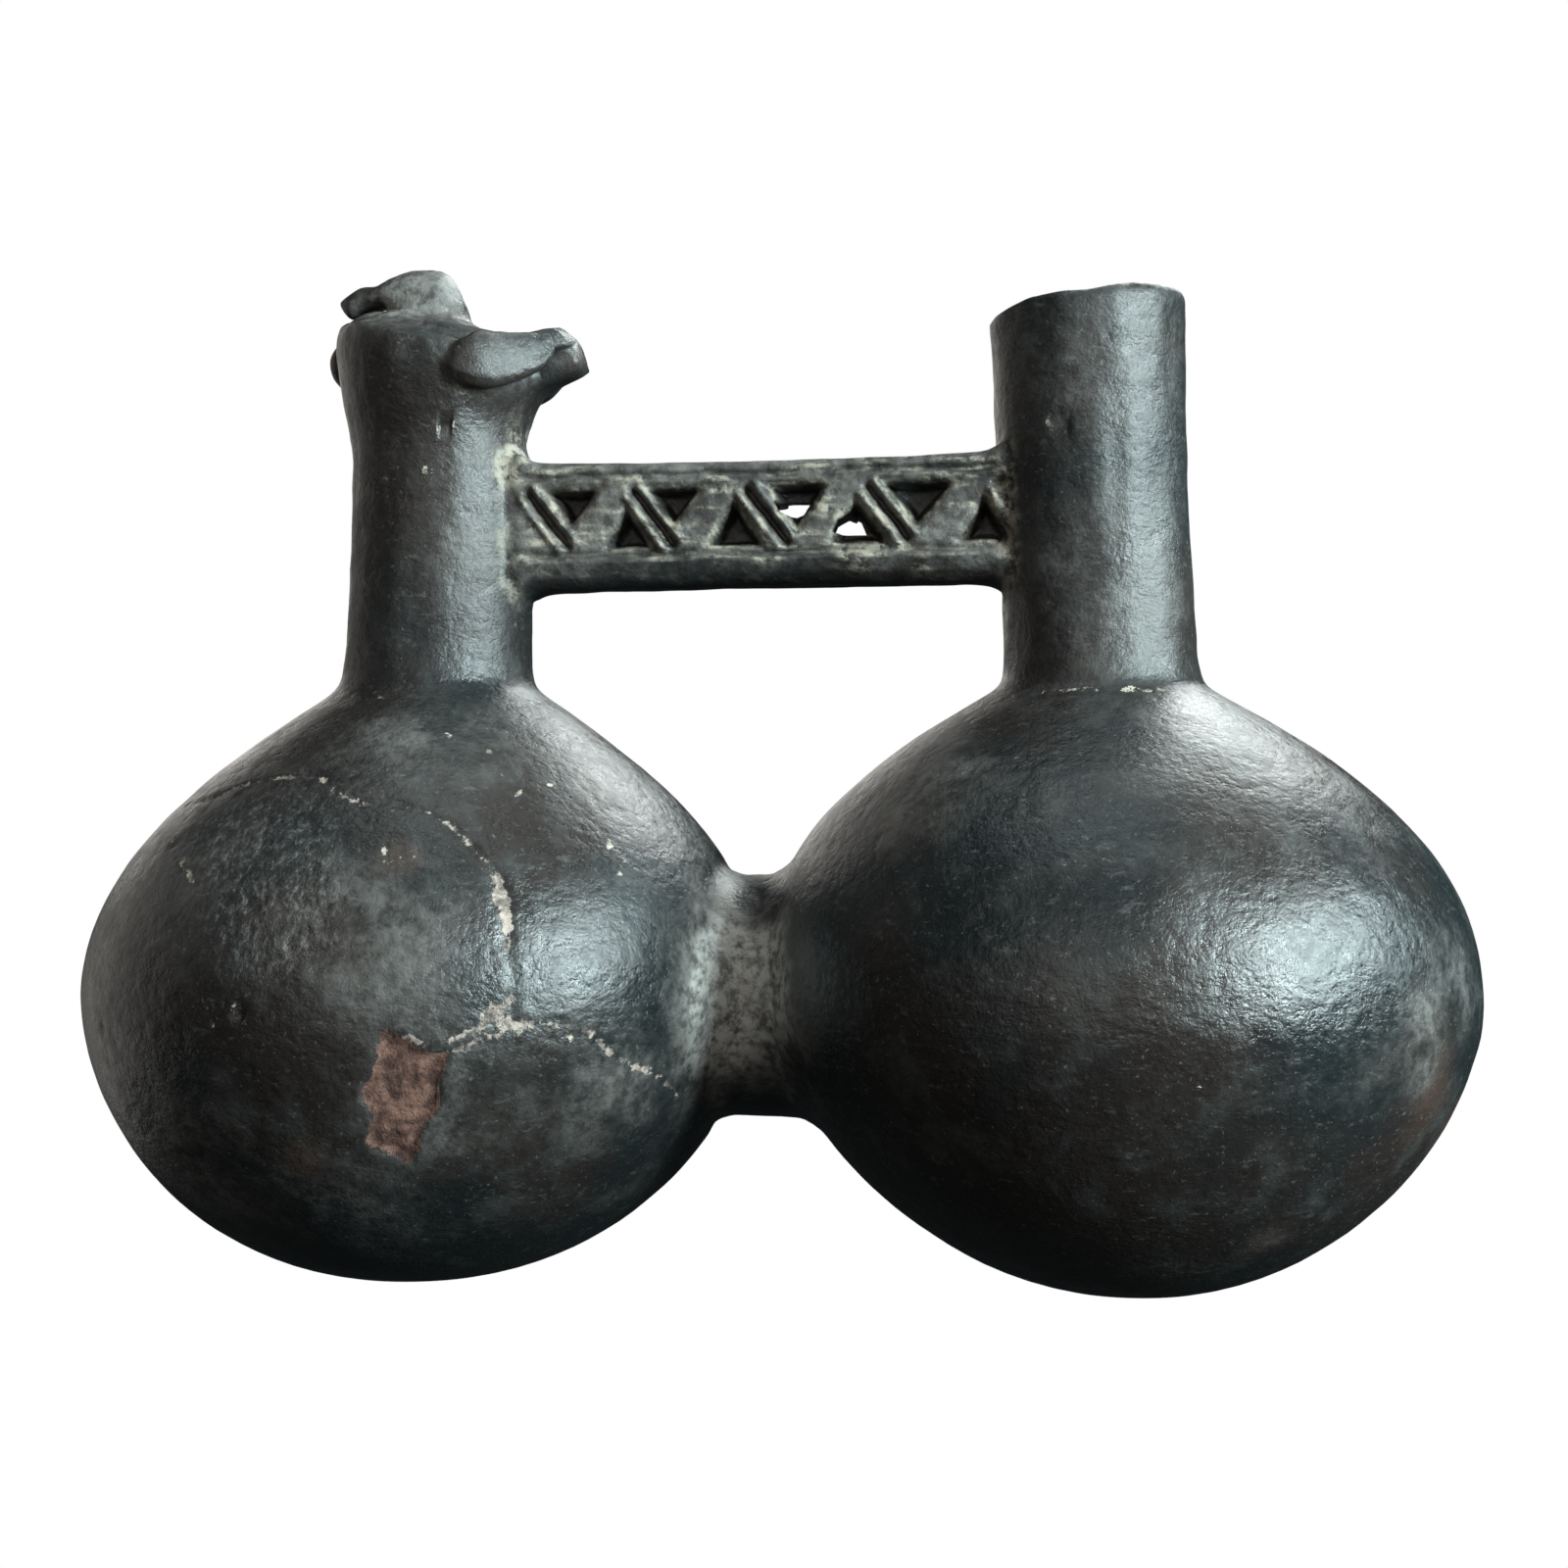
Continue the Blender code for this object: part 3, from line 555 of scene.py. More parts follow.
def tail():
    """A flat slab, square in section, narrowing to its end."""
    x = np.linspace(-55.0, -33.6, 40)
    top = eased((-55, -50, -45.2, -40.4, -36.6, -33.6), (156.0, 155.2, 154.1, 153.7, 154.6, 155.1), x)
    thick = eased((-55, -45, -38, -33.6), (9.0, 6.0, 4.2, 3.4), x)
    half_width = eased((-55, -48, -42, -37, -33.6), (13.6, 12.6, 10.2, 7.6, 6.7), x)
    return side_loft("tail", x, top, top - thick, half_width, points=56, square=6.0, lean=end_lean)


def web():
    """The support under the tail: its underside sweeps down into the neck."""
    low, high = -52.0, -33.8
    x = np.linspace(low, high, 40)
    top = eased((low, -45, -38, high), (153, 153, 153.2, 154.4), x)
    bottom = eased((low, -42.4, -40.9, -40.1, -38.7, -36.2, high),
                   (124.0, 135.8, 139.0, 141.6, 143.8, 146.4, 148.9), x)
    half_width = eased((low, -44, -40, high), (9.0, 6.6, 5.5, 5.2), x)
    return side_loft("web", x, top, bottom, half_width, points=44, square=4.0, lean=end_lean)


# %% Wings and the lug at the breast
def wing(side):
    """A folded wing: a thick leaf that starts at the shoulder and tapers back along the tail."""
    path = [(-50.2, 15.6, 150.2), (-48.2, 15.6, 148.8), (-44.8, 13.9, 148.4), (-41.2, 11.2, 149.0),
            (-37.8, 8.6, 150.6), (-34.4, 6.4, 153.2)]
    path = [(x, side * y, z) for x, y, z in path]
    radii = (3.4, 5.1, 4.9, 4.2, 3.2, 1.6), (1.8, 2.3, 2.5, 2.3, 2.0, 1.2)
    return swept(f"wing_{'front' if side < 0 else 'back'}", path, *radii, 44, undercut=-0.95 * side)


def side_lug():
    """A small lug on the far side of the breast, running down into the neck as a thin rib."""
    path = [(-68.8, 4.0, 141.5), (-70.4, 4.0, 146.0), (-72.4, 4.0, 150.5), (-72.6, 4.0, 154.4)]
    return swept("side_lug", path, (0.8, 1.5, 2.8, 2.0), (1.0, 1.6, 2.5, 1.9), 30)


bird_parts = [head_and_beak(), dome("breast", (-65.2, 0.0, 152.3), (7.2, 10.0, 6.6)), tail(), web(), wing(-1),
              wing(1), side_lug()]

# %% [markdown]
# Joining the forms.
# A Boolean union turns overlapping solids into one skin, and a difference takes the hollows out.
# The Manifold solver is quick on clean closed meshes, and all of these are. Each result is kept as the new
# mesh, so that no modifier is left on the finished piece.

# %% Boolean helper
def combine(base, other, operation):
    """Joins or cuts base by other, keeps the result in base, and removes other."""
    modifier = base.modifiers.new("combine", "BOOLEAN")
    modifier.operation = operation
    modifier.object = other
    modifier.solver = "MANIFOLD"
    mesh = bpy.data.meshes.new_from_object(base.evaluated_get(bpy.context.evaluated_depsgraph_get()))
    base.modifiers.clear()
    base.data = mesh
    bpy.data.objects.remove(other)


vessel = left_bottle
for part in [right_bottle, tube, bridge] + bird_parts:
    combine(vessel, part, "UNION")
print("joined:", len(vessel.data.polygons), "faces")

# %% [markdown]
# The hollows.
# The chambers, the spout and the tube are empty, with walls 3.6 to 4.5 mm thick. The cutters are the same
# profiles a wall's thickness further in. The spout's cutter flares past the lip, which rounds the rim.

# %% Hollows and the two open holes
def hollow_profile(bottle, top):
    """(radius, z) of a bottle's inside, up to z = top."""
    wall = shoulder_outline(bottle, WALL, NECK_RADIUS - NECK_WALL, top, no_swell)
    return np.concatenate([chamber_outline(bottle, WALL), wall])


def bird_hollow():
    """The closed neck is hollow up to a dome 6 mm under the bird."""
    outline = hollow_profile(LEFT, 143.0)
    roof = arc((0.0, 143.0), outline[-1, 0], 0, 86, 20)[1:] * (1.0, 0.5) + (0.0, 71.5)
    angles = np.linspace(0, math.tau, 44, endpoint=False)
    return turned("bird_hollow", LEFT, np.concatenate([outline, roof]), ((0, 1), (4.2, 4.2)), angles)


def spout_hollow():
    """The bore opens out over the last 2 mm by an arc, and leaves through the top of the lip."""
    bore = hollow_profile(RIGHT, SPOUT_TOP - 1.9)
    flare = arc((bore[-1, 0] + 1.9, SPOUT_TOP - 1.9), 1.9, 180, 96, 10)[1:]
    above = np.array([(flare[-1, 0] + 0.1, SPOUT_TOP + 2.0), (0.6, SPOUT_TOP + 2.0)])
    angles = np.linspace(0, math.tau, 60, endpoint=False)
    rows = (95, 104, 152, 157), (4.6, 4.2, 3.0, 0.5)
    return turned("spout_hollow", RIGHT, np.concatenate([bore, flare, above]), rows, angles, dipped_lip)


def hole_window(index, slant):
    """A prism through the strap, a little smaller than the front triangle and set off sideways."""
    middle = hole_place(index - (HOLE_COUNT - 1) / 2)
    hanging = index % 2 == 0
    base, rise = (FIELD_TOP - 3.0, -2.6) if hanging else (FIELD_BOTTOM + 2.2, 3.3)
    corners = np.array([(-2.9, 0), (2.9, 0), (1.9, rise * 0.7), (0, rise), (-1.9, rise * 0.7)])
    rings = []
    for y, shift in ((-9.5, 0.0), (9.5, -slant)):
        x = middle + corners[:, 0] + shift - slant / 2
        rings.append(np.stack([x, np.full(5, y), base + corners[:, 1] + float(climb(middle))], -1))
    return surface_object(f"window_{index}", np.array(rings))


cutters = [bird_hollow(), spout_hollow(), drum("tube_bore", TUBE_RADIUS - WALL, 0.0, TUBE_REACH, 12, 40)]
cutters += [hole_window(4, 1.2), hole_window(5, 1.8)]
for cutter in cutters:
    combine(vessel, cutter, "DIFFERENCE")
print("hollowed:", len(vessel.data.polygons), "faces")

# %% [markdown]
# Smearing the joints.
# A Boolean leaves a knife-sharp line where two forms meet. A potter smears wet clay over it. So the edges
# with a sharp angle are found, and the skin near them is averaged with its neighbours a few times, more the
# nearer it lies. The distance to such a joint is kept, because that is also where earth has lodged.

# %% Reading and writing a mesh as arrays
def read_points(mesh):
    """All vertex places of a mesh, in millimetres, as one array."""
    places = np.empty(len(mesh.vertices) * 3)
    mesh.vertices.foreach_get("co", places)
    return places.reshape(-1, 3) / METRES


def write_points(mesh, places):
    """Puts an array in millimetres back as the mesh's vertex places."""
    mesh.vertices.foreach_set("co", (places * METRES).ravel())
    mesh.update()


def normals_of(parts):
    """Normals of the vertices or of the polygons of a mesh."""
    normals = np.empty(len(parts) * 3)
    parts.foreach_get("normal", normals)
    return normals.reshape(-1, 3)


# %% Neighbours and distances
def edge_faces(mesh):
    """For every edge its two faces, and its two vertices. Loops sorted by edge come in pairs."""
    loop_edges = np.empty(len(mesh.loops), np.int64)
    mesh.loops.foreach_get("edge_index", loop_edges)
    sizes = np.empty(len(mesh.polygons), np.int64)
    mesh.polygons.foreach_get("loop_total", sizes)
    loop_face = np.repeat(np.arange(len(sizes)), sizes)
    order = np.argsort(loop_edges, kind="stable")
    pairs = loop_face[order].reshape(-1, 2)
    ends = np.empty(len(mesh.edges) * 2, np.int64)
    mesh.edges.foreach_get("vertices", ends)
    return pairs, ends.reshape(-1, 2)


def distance_to(points, targets, reach):
    """Distance from each point to the nearest target, or reach if that is less, in batches."""
    nearest = np.full(len(points), reach)
    for start in range(0, len(targets), 128):
        some = targets[start:start + 128]
        low, high = some.min(0) - reach, some.max(0) + reach
        close = np.flatnonzero(((points > low) & (points < high)).all(1))
        for first in range(0, len(close), 20000):
            chosen = close[first:first + 20000]
            gaps = np.linalg.norm(points[chosen][:, None] - some[None], axis=2).min(1)
            nearest[chosen] = np.minimum(nearest[chosen], gaps)
    return nearest


# %% Where the sharp joints are
mesh = vessel.data
places = read_points(mesh)
pairs, ends = edge_faces(mesh)
normals = normals_of(mesh.polygons)
turn = np.einsum("ij,ij->i", normals[pairs[:, 0]], normals[pairs[:, 1]])
sharp = np.unique(ends[turn < math.cos(math.radians(24))])
in_field = smooth_step(BRIDGE_ENDS[0] + 13.5, BRIDGE_ENDS[0] + 16.0, places[:, 0])
in_field *= smooth_step(BRIDGE_ENDS[1] - 13.5, BRIDGE_ENDS[1] - 16.0, places[:, 0])
in_field *= (places[:, 2] > BRIDGE_BOTTOM - 2) & (places[:, 2] < BRIDGE_TOP + 2)
sharp = sharp[in_field[sharp] < 0.3]
joints = places[sharp[np.argsort(places[sharp, 0])]]
joint_distance = distance_to(places, joints, 8.0)
print("sharp joint points:", len(joints))

# %% Average the skin near the joints
def smear(places, ends, weight, rounds):
    """Moves each vertex towards the mean of its neighbours by its weight, again and again."""
    count = len(places)
    both = np.concatenate([ends, ends[:, ::-1]])
    degree = np.bincount(both[:, 0], minlength=count)
    for _ in range(rounds):
        for part in range(3):
            total = np.bincount(both[:, 0], weights=places[both[:, 1], part], minlength=count)
            places[:, part] += weight * (total / degree - places[:, part])
    return places


on_bird = smooth_step(145.0, 150.0, places[:, 2]) * (places[:, 0] < -25)
by_tube = smooth_step(30.0, 20.0, np.abs(places[:, 0] - TUBE_MIDDLE)) * (places[:, 2] < 80)
reach = 1.9 + 2.4 * by_tube - 1.2 * on_bird
weight = 0.6 * (1 - smooth_step(0.15, 1.0, joint_distance / reach)) * (1 - in_field)
places = smear(places, ends, weight, 12)
places = smear(places, ends, weight * (1 - on_bird), 14)
places = smear(places, ends, weight * by_tube, 24)
places = smear(places, ends, 0.2 * in_field, 1)
write_points(mesh, places)
print("moved by the smearing")

# %% [markdown]
# Outside and inside.
# The marks belong to the outside only. A point is inside when it lies nearer its bottle's axis than the
# middle of the wall, or in the bore of the tube.

# %% Which points are outside
def wall_middle(bottle, z):
    """Radius of the middle of the wall at height z."""
    shoulder = shoulder_outline(bottle, 2.0, NECK_RADIUS - 1.8, SPOUT_TOP, no_swell)
    outline = np.concatenate([chamber_outline(bottle, 2.0), shoulder])
    return np.interp(z, outline[:, 1], outline[:, 0], left=0, right=0)


def inside_mask(places):
    """True for the points on the walls of the hollows."""
    x, y, z = places.T
    inside = np.zeros(len(places), bool)
    for bottle, roof in ((LEFT, 150.0), (RIGHT, SPOUT_TOP - 2.4)):
        near_axis = np.hypot(x - axis_x(bottle, z), y) < wall_middle(bottle, z)
        inside |= near_axis & (z > 2.2) & (z < roof)
    in_tube = (np.hypot(y, z - EQUATOR) < TUBE_RADIUS - 2.2) & (np.abs(x - TUBE_MIDDLE) < 14)
    return inside | in_tube


outside = 1.0 - inside_mask(places)
print("outside share:", round(float(outside.mean()), 3))

# %% [markdown]
# The marks of age.
# Each mark is a rule in space, so it can be read at any vertex: how far the point is from a given line,
# or how deep inside an outline. Noise bends the point first, which makes every edge ragged. A rule
# gives a depth in millimetres for the mesh. It also gives a margin, the distance inside the mark's edge,
# which the finish reads later: an edge cut from a margin in the shader is finer than the mesh itself.

# %% Lines and outlines of the marks
CRACK_OVER = [(-91, -21, 77), (-85.3, -27.2, 78.3), (-79.1, -29.5, 80.5), (-72.3, -32.4, 81.4),
              (-66, -34.6, 81.8), (-61.5, -38.6, 79), (-57.3, -40.3, 77.5), (-53.3, -39.9, 77.9),
              (-48.9, -40.8, 76.4), (-43.3, -41.5, 74.2), (-37.8, -43.4, 69.4)]
CRACK_DOWN = [(-37.8, -43.4, 69.4), (-35.7, -44.4, 66.6), (-34.4, -46.1, 62.8), (-33.3, -47.7, 58.1),
              (-32.7, -48.8, 53.4), (-32.5, -49.3, 49.1), (-32.3, -49.3, 45.5)]
CRACK_LEFT = [(-32.3, -49.3, 45.5), (-34.4, -49.9, 43.5), (-38, -51.4, 42.4), (-41.7, -52.5, 41.6),
              (-44.7, -53.4, 42.4), (-47.4, -54.3, 43.8)]
CRACK_RIGHT = [(-32.3, -49.3, 45.5), (-27.4, -46.2, 44.7), (-23.4, -43.3, 44.2), (-21.8, -41.9, 43),
               (-18.4, -37.6, 39), (-15.9, -34.1, 37.4), (-13.5, -29.5, 35.4), (-11.2, -20.7, 30.2)]
RAGGED_FILL = [(-32.3, 52.5), (-35.1, 48.6), (-37.9, 46.1), (-42.9, 43.9), (-41.7, 41.6), (-34.4, 43.3),
               (-31.6, 44.9)]
SCAR = [(-50.6, 44.6), (-47.3, 43.8), (-45.5, 42.1), (-41.4, 41.4), (-41.9, 38.1), (-42.8, 35.2),
        (-43.1, 32.8), (-45, 29.9), (-46.6, 26), (-48.2, 23.8), (-50.2, 25.3), (-53.9, 27), (-53, 30.4),
        (-53.7, 35.2), (-51.4, 39.4)]
PITTED = [(-90, 71.5), (-85.4, 68.5), (-80.2, 63.2), (-79.7, 57.8), (-77.4, 53.6), (-69.7, 51.7),
          (-63.6, 53.9), (-57.6, 57.5), (-58.3, 66), (-61.4, 73.1), (-61.9, 78.7), (-70.2, 82),
          (-80.7, 79.7)]
SCRATCHES = [
    [(-90.0, -31.4, 71.5), (-85.2, -39.4, 67.8), (-80.2, -45.6, 63.2), (-79.7, -47.7, 60.0)],
    [(-81.8, -49.1, 52.7), (-78.8, -51.1, 48.5), (-77.0, -51.9, 45.0), (-75.2, -52.2, 41.7)],
    [(-81.2, -48.3, 35.8), (-79.8, -47.3, 31.4)],
    [(-67.0, -46.8, 23.7), (-62.3, -48.8, 25.9), (-58.4, -49.3, 26.2), (-55.1, -47.9, 24.5)],
    [(-57.0, -42.7, 75.2), (-54.0, -45.0, 71.5), (-51.5, -47.5, 68.9), (-46.9, -46.0, 69.9)],
    [(46.0, -55.5, 55.2), (49.5, -56.0, 54.4), (53.3, -56.4, 52.9)],
    [(63.3, -54.7, 38.1), (70.0, -53.4, 37.6), (76.0, -51.4, 37.4)],
    [(42.0, -14.0, 95.0), (46.5, -16.8, 95.1), (54.0, -18.3, 95.1), (61.0, -16.8, 95.0), (66.0, -13.6, 94.7)],
]
CHIPS = [((-72.2, -53.4, 46.7), 1.6, 0.5), ((-50.7, -14.8, 138), 1.4, 0.6), ((47.2, -14.2, 137.2), 2, 0.5),
         ((-99.8, -35.8, 42.9), 1.5, 0.3), ((-33.6, -5.6, 154.9), 1.5, 0.5),
         ((75.6, -31.5, 13.2), 1.2, 0.3)]
FLAKES = [((-60, -18.8, 94.1), 1.5), ((-46.8, -26.4, 88), 1.1), ((-40.8, -26.7, 85.8), 1.4),
          ((-38, -30.4, 82), 1), ((-34.8, -32.2, 79), 0.9), ((-31.2, -27.3, 80.5), 0.7),
          ((-21.2, -29.8, 70.9), 1.3), ((-23.1, -29.4, 73), 0.8), ((-19.3, -32.5, 66), 1.2),
          ((-18.6, -29.1, 68.4), 0.7), ((-45.1, -27.7, 86.6), 0.7), ((-41.7, -22.3, 89), 0.8),
          ((-53.5, -15, 130.6), 1.2), ((-40, -4.5, 135.4), 2), ((-55.8, -16.5, 105), 0.8),
          ((-64, -17.5, 92.5), 1.4), ((-67.5, -46, 31), 0.8), ((-24.6, -44.5, 43.2), 1.1),
          ((-31, -48.8, 43.8), 1.3), ((-44, -51.8, 40.5), 1.4)]


# %% Distances to lines and outlines
def from_line(points, line):
    """Distance to a line of points in space: the least over its straight stretches, and how far along."""
    line = np.asarray(line, float)
    best = np.full(len(points), 1e9)
    along = np.zeros(len(points))
    for number, (a, b) in enumerate(zip(line, line[1:])):
        t = np.clip((points - a) @ (b - a) / ((b - a) @ (b - a)), 0, 1)
        gap = np.linalg.norm(points - (a + t[:, None] * (b - a)), axis=1)
        nearer = gap < best
        best = np.where(nearer, gap, best)
        along = np.where(nearer, (number + t) / (len(line) - 1), along)
    return best, along


def inside_outline(x, z, outline):
    """Signed distance to a closed outline in the front view: positive inside, by counting crossings."""
    corners = np.asarray(outline, float)
    crossings = np.zeros(len(x), int)
    gap = np.full(len(x), 1e9)
    for a, b in zip(corners, np.roll(corners, -1, axis=0)):
        t = np.clip(((x - a[0]) * (b - a)[0] + (z - a[1]) * (b - a)[1]) / ((b - a) @ (b - a)), 0, 1)
        gap = np.minimum(gap, np.hypot(x - a[0] - t * (b - a)[0], z - a[1] - t * (b - a)[1]))
        spans = (a[1] > z) != (b[1] > z)
        cut = a[0] + (z - a[1]) / (b[1] - a[1] if b[1] != a[1] else 1e-9) * (b - a)[0]
        crossings += spans & (x < cut)
    return np.where(crossings % 2 == 1, gap, -gap)


def bent(points, amount, cell, seed):
    """Points moved by noise in all three directions, so that what is measured from them looks ragged."""
    moves = [cloud(points, cell, seed + 40 * part, 3) for part in range(3)]
    return points + amount * np.stack(moves, -1)


# %% Depth and margin of every mark
ragged = bent(places, 0.9, 4.0, 21)
front = smooth_step(4.0, -8.0, places[:, 1])
fine_noise = cloud(places, 1.6, 5, 2)
broken = lattice_noise(places, 3.4, 77)
depth = np.zeros(len(places))
NOWHERE = -2.0

over_gap, over_along = from_line(ragged, CRACK_OVER)
down_gap, down_along = from_line(ragged, CRACK_DOWN)
left_gap, _ = from_line(ragged, CRACK_LEFT)
right_gap, right_along = from_line(ragged, CRACK_RIGHT)
over_half = np.interp(over_along, (0, 0.4, 0.55, 0.8, 1), (0.28, 0.40, 0.26, 0.30, 0.44)) + 0.16 * broken
down_half = np.interp(down_along, (0, 0.2, 0.45, 0.62, 0.8, 1), (0.44, 0.95, 1.0, 0.6, 0.45, 0.7))
down_half += 0.16 * broken
right_half = np.interp(right_along, (0, 0.2, 0.5, 0.7, 1), (0.62, 0.45, 0.45, 0.5, 0.3)) + 0.2 * broken
fill = inside_outline(ragged[:, 0], ragged[:, 2], RAGGED_FILL) + 1.5 * fine_noise - 1.0
crack_margin = np.maximum.reduce([
    over_half - over_gap, down_half - down_gap, 0.38 + 0.24 * broken - left_gap, right_half - right_gap,
    np.where(front > 0.5, np.minimum(fill, 0.35), NOWHERE)])
depth += smooth_step(-0.3, 0.5, crack_margin) * (0.30 + 0.30 * fine_noise)
hairline = np.exp(-((over_gap / 0.5) ** 2)) + np.exp(-(((down_gap - down_half - 0.1) / 0.4) ** 2))
depth += 0.2 * np.clip(hairline, 0, 1)

scar_margin = np.where(front > 0.5, inside_outline(ragged[:, 0], ragged[:, 2], SCAR), NOWHERE)
depth += smooth_step(-0.1, 0.6, scar_margin) * (0.85 + 0.34 * fine_noise + 0.25 * cloud(places, 4.0, 61, 2))

pitted = smooth_step(-4.0, 4.0, inside_outline(*bent(places, 4.0, 9.0, 66)[:, ::2].T, PITTED)) * front
depth += pitted * 0.5 * np.clip(cloud(places, 2.4, 15, 3) + 0.15, 0, 1)

flake_margin = np.full(len(places), NOWHERE)
crumbled = bent(places, 1.3, 2.0, 31)
for line in SCRATCHES:
    gap, _ = from_line(crumbled, line)
    flake_margin = np.maximum(flake_margin, 0.25 + 0.45 * broken - gap)
    depth += 0.22 * smooth_step(0.8, 0.1, gap)
for centre, radius, cut in CHIPS:
    gap = np.linalg.norm(ragged - centre, axis=1)
    depth += cut * smooth_step(radius, radius * 0.7, gap)
    flake_margin = np.maximum(flake_margin, 0.1 + 0.3 * broken - np.abs(gap - radius))
for centre, radius in FLAKES:
    gap = np.linalg.norm((crumbled - centre) * (0.7, 0.7, 1.3), axis=1)
    flake_margin = np.maximum(flake_margin, radius * (0.45 + 0.8 * fine_noise) - gap)
print("deepest mark in mm:", round(float(depth.max()), 2))

# %% [markdown]
# The hand of the maker.
# Nothing on such a pot is quite round. Slow noise dents the chambers by a few tenths of a millimetre, and
# flatter, wider noise gives the strokes of the burnishing stone, along the chambers and up the necks.

# %% Dents and burnishing strokes
on_neck = smooth_step(93.0, 101.0, places[:, 2])
dents = 0.26 * cloud(places, 26.0, 101, 2) + 0.13 * cloud(places, 7.0, 108, 3)
strokes_round = 0.07 * lattice_noise(places, (12.0, 12.0, 3.4), 120)
strokes_up = 0.22 * lattice_noise(places, (4.0, 4.0, 22.0), 131) + 0.16 * cloud(places, 3.6, 133, 3)
hand = dents + strokes_round * (1 - on_neck) + strokes_up * on_neck
hand += on_bird * (0.14 * cloud(places, 2.4, 140, 2) + 0.22 * cloud(places, 6.0, 144, 2))
hand *= smooth_step(1.0, 9.0, places[:, 2]) * (1 - 0.6 * in_field)

places = places + normals_of(mesh.vertices) * ((hand - depth) * outside)[:, None]
low_corner, high_corner = (np.array(corner) / METRES for corner in cad_box)
places = np.clip(places, low_corner, high_corner)
write_points(mesh, places)

# %% Earth, wear and brown firing marks
patchy = cloud(places, 7.0, 201, 3)
seam = smooth_step(2.4, 0.2, joint_distance) * smooth_step(-0.3, 0.5, patchy) * outside
under_bird = smooth_step(136.0, 141.0, places[:, 2]) * (places[:, 0] < -25)
seam *= (1 - 0.9 * under_bird) * (1 - 0.75 * by_tube)
sunk = smooth_step(0.3, 1.4, BRIDGE_DEPTH / 2 - np.abs(places[:, 1]))
sill = smooth_step(-0.05, 0.5, cloud(places, (5.0, 3.0, 1.6), 210, 3))
above_edge = smooth_step(114.8, 116.2, places[:, 2])
border = above_edge * smooth_step(-0.05, 0.35, cloud(places, (7.0, 3.0, 1.3), 216, 3))
earth_and_rim_highlight = np.maximum.reduce([0.8 * seam, 0.5 * in_field * sunk * sill, 0.8 * in_field * border])


# %% Earth, and a painted highlight, on the edges of the carving
def rims_earth_and_highlight(x, z):
    """1 along the rims of the triangles and on the ridges of the bars: pale earth, and a painted highlight on
    these edges.
    """
    z = z - climb(x)
    rims = np.zeros_like(x)
    for index in range(HOLE_COUNT):
        rims = np.maximum(rims, np.exp(-(((triangle_depth(x, z, index) + 0.25) / 0.45) ** 2)))
    for steps in range(-HOLE_COUNT // 2, HOLE_COUNT // 2 + 1, 2):
        across, along = bar_line(x, z, steps)
        rims = np.maximum(rims, along * np.exp(-(((np.abs(across) - 1.5) / 0.5) ** 2)))
    return rims


edge_noise = smooth_step(-0.45, 0.25, cloud(places, (3.0, 3.0, 2.0), 219, 3))
# The pale rims and ridges are partly earth that has stayed and partly a painted highlight on the carved
# edges.
earth_and_rim_highlight = np.maximum(earth_and_rim_highlight, in_field * rims_earth_and_highlight(places[:, 0], places[:, 2]) * edge_noise)
# Deep in the pockets the earth and the dust are left out, so the pockets stay black as painted shade.
shaded_pockets = smooth_step(1.1, 2.2, BRIDGE_DEPTH / 2 - np.abs(places[:, 1])) * in_field
earth_and_rim_highlight = earth_and_rim_highlight * (1 - 0.85 * shaded_pockets)

# %% Worn and browned places, and the tube's painted sheen: a centre, a radius and a strength each
# The tube's patch, strength 2.6, is partly dust and partly a painted sheen that lightens the tube in its
# recess.
WEAR_AND_SHEEN = [((-52, -48, 56), 22, 0.8), ((-44, -46, 38), 20, 0.8), ((-22, -36, 38), 16, 0.8),
        ((-1.4, -18, 48), 24, 2.6), ((-78, -38, 66), 16, 0.8), ((-52, -28, 84), 22, 0.6),
        ((-104, -20, 46), 16, 0.45), ((100, -34.7, 40), 12, 1), ((104, -22, 50), 14, 0.5),
        ((75.6, -31.5, 15), 8, 0.5), ((30, -44, 22), 9, 0.35), ((22, -30, 82), 20, 1),
        ((-60, -5, 160), 15, 1.6), ((-43, -10, 150), 10, 0.6), ((-34, -4, 151), 6, 0.6),
        ((54, -14, 112), 20, 0.5), ((50, -14, 145), 18, 0.4), ((-46, -13, 126), 22, 0.55),
        ((-86, -36, 22), 24, 0.55), ((-60, -40, 18), 20, 0.4)]
EMBERS = [((-52, -46, 71.5), 5, 0.5), ((104, -28, 34), 9, 0.6), ((75.6, -31.5, 13.2), 8, 0.4),
          ((108, -12.8, 26), 8, 0.8), ((-100, -32, 52), 16, 0.5), ((-62, -48, 25), 6, 0.6),
          ((-74, 5, 150), 6, 0.9), ((-33, -2, 150), 6, 0.4), ((20, -40, 82), 16, 0.5),
          ((-16, -36, 18), 6, 0.5), ((-64, -50, 58), 12, 0.3)]
drifting = bent(places, 5.0, 12.0, 91)


# %% Masks and margins into the mesh
def patches(spots):
    """The strongest of several soft round patches, each a centre, a radius and a strength."""
    total = np.zeros(len(places))
    for centre, radius, strength in spots:
        gap = np.linalg.norm(drifting - centre, axis=1)
        total = np.maximum(total, strength * smooth_step(radius, radius * 0.15, gap))
    return total


wear_and_sheen = np.maximum(patches(WEAR_AND_SHEEN), 0.95 * in_field * (1 - shaded_pockets)) * (0.8 + 0.35 * patchy)
masks = {"earth_and_rim_highlight": earth_and_rim_highlight, "pitted": pitted, "wear_and_sheen": wear_and_sheen, "ember": patches(EMBERS), "neck": on_neck}
margins = {"crack": crack_margin, "scar": scar_margin, "flake": flake_margin}
for name, values in {**masks, **margins}.items():
    limits = (0, 2) if name in masks else (NOWHERE, 2)
    values = np.where(outside > 0.5, np.clip(values, *limits), limits[0])
    attribute = mesh.attributes.new(name, "FLOAT", "POINT")
    attribute.data.foreach_set("value", values.astype(np.float32))
    print(name, "covers", round(float((values > 0.5 * (name in masks)).mean() * 100), 2), "% of the vertices")
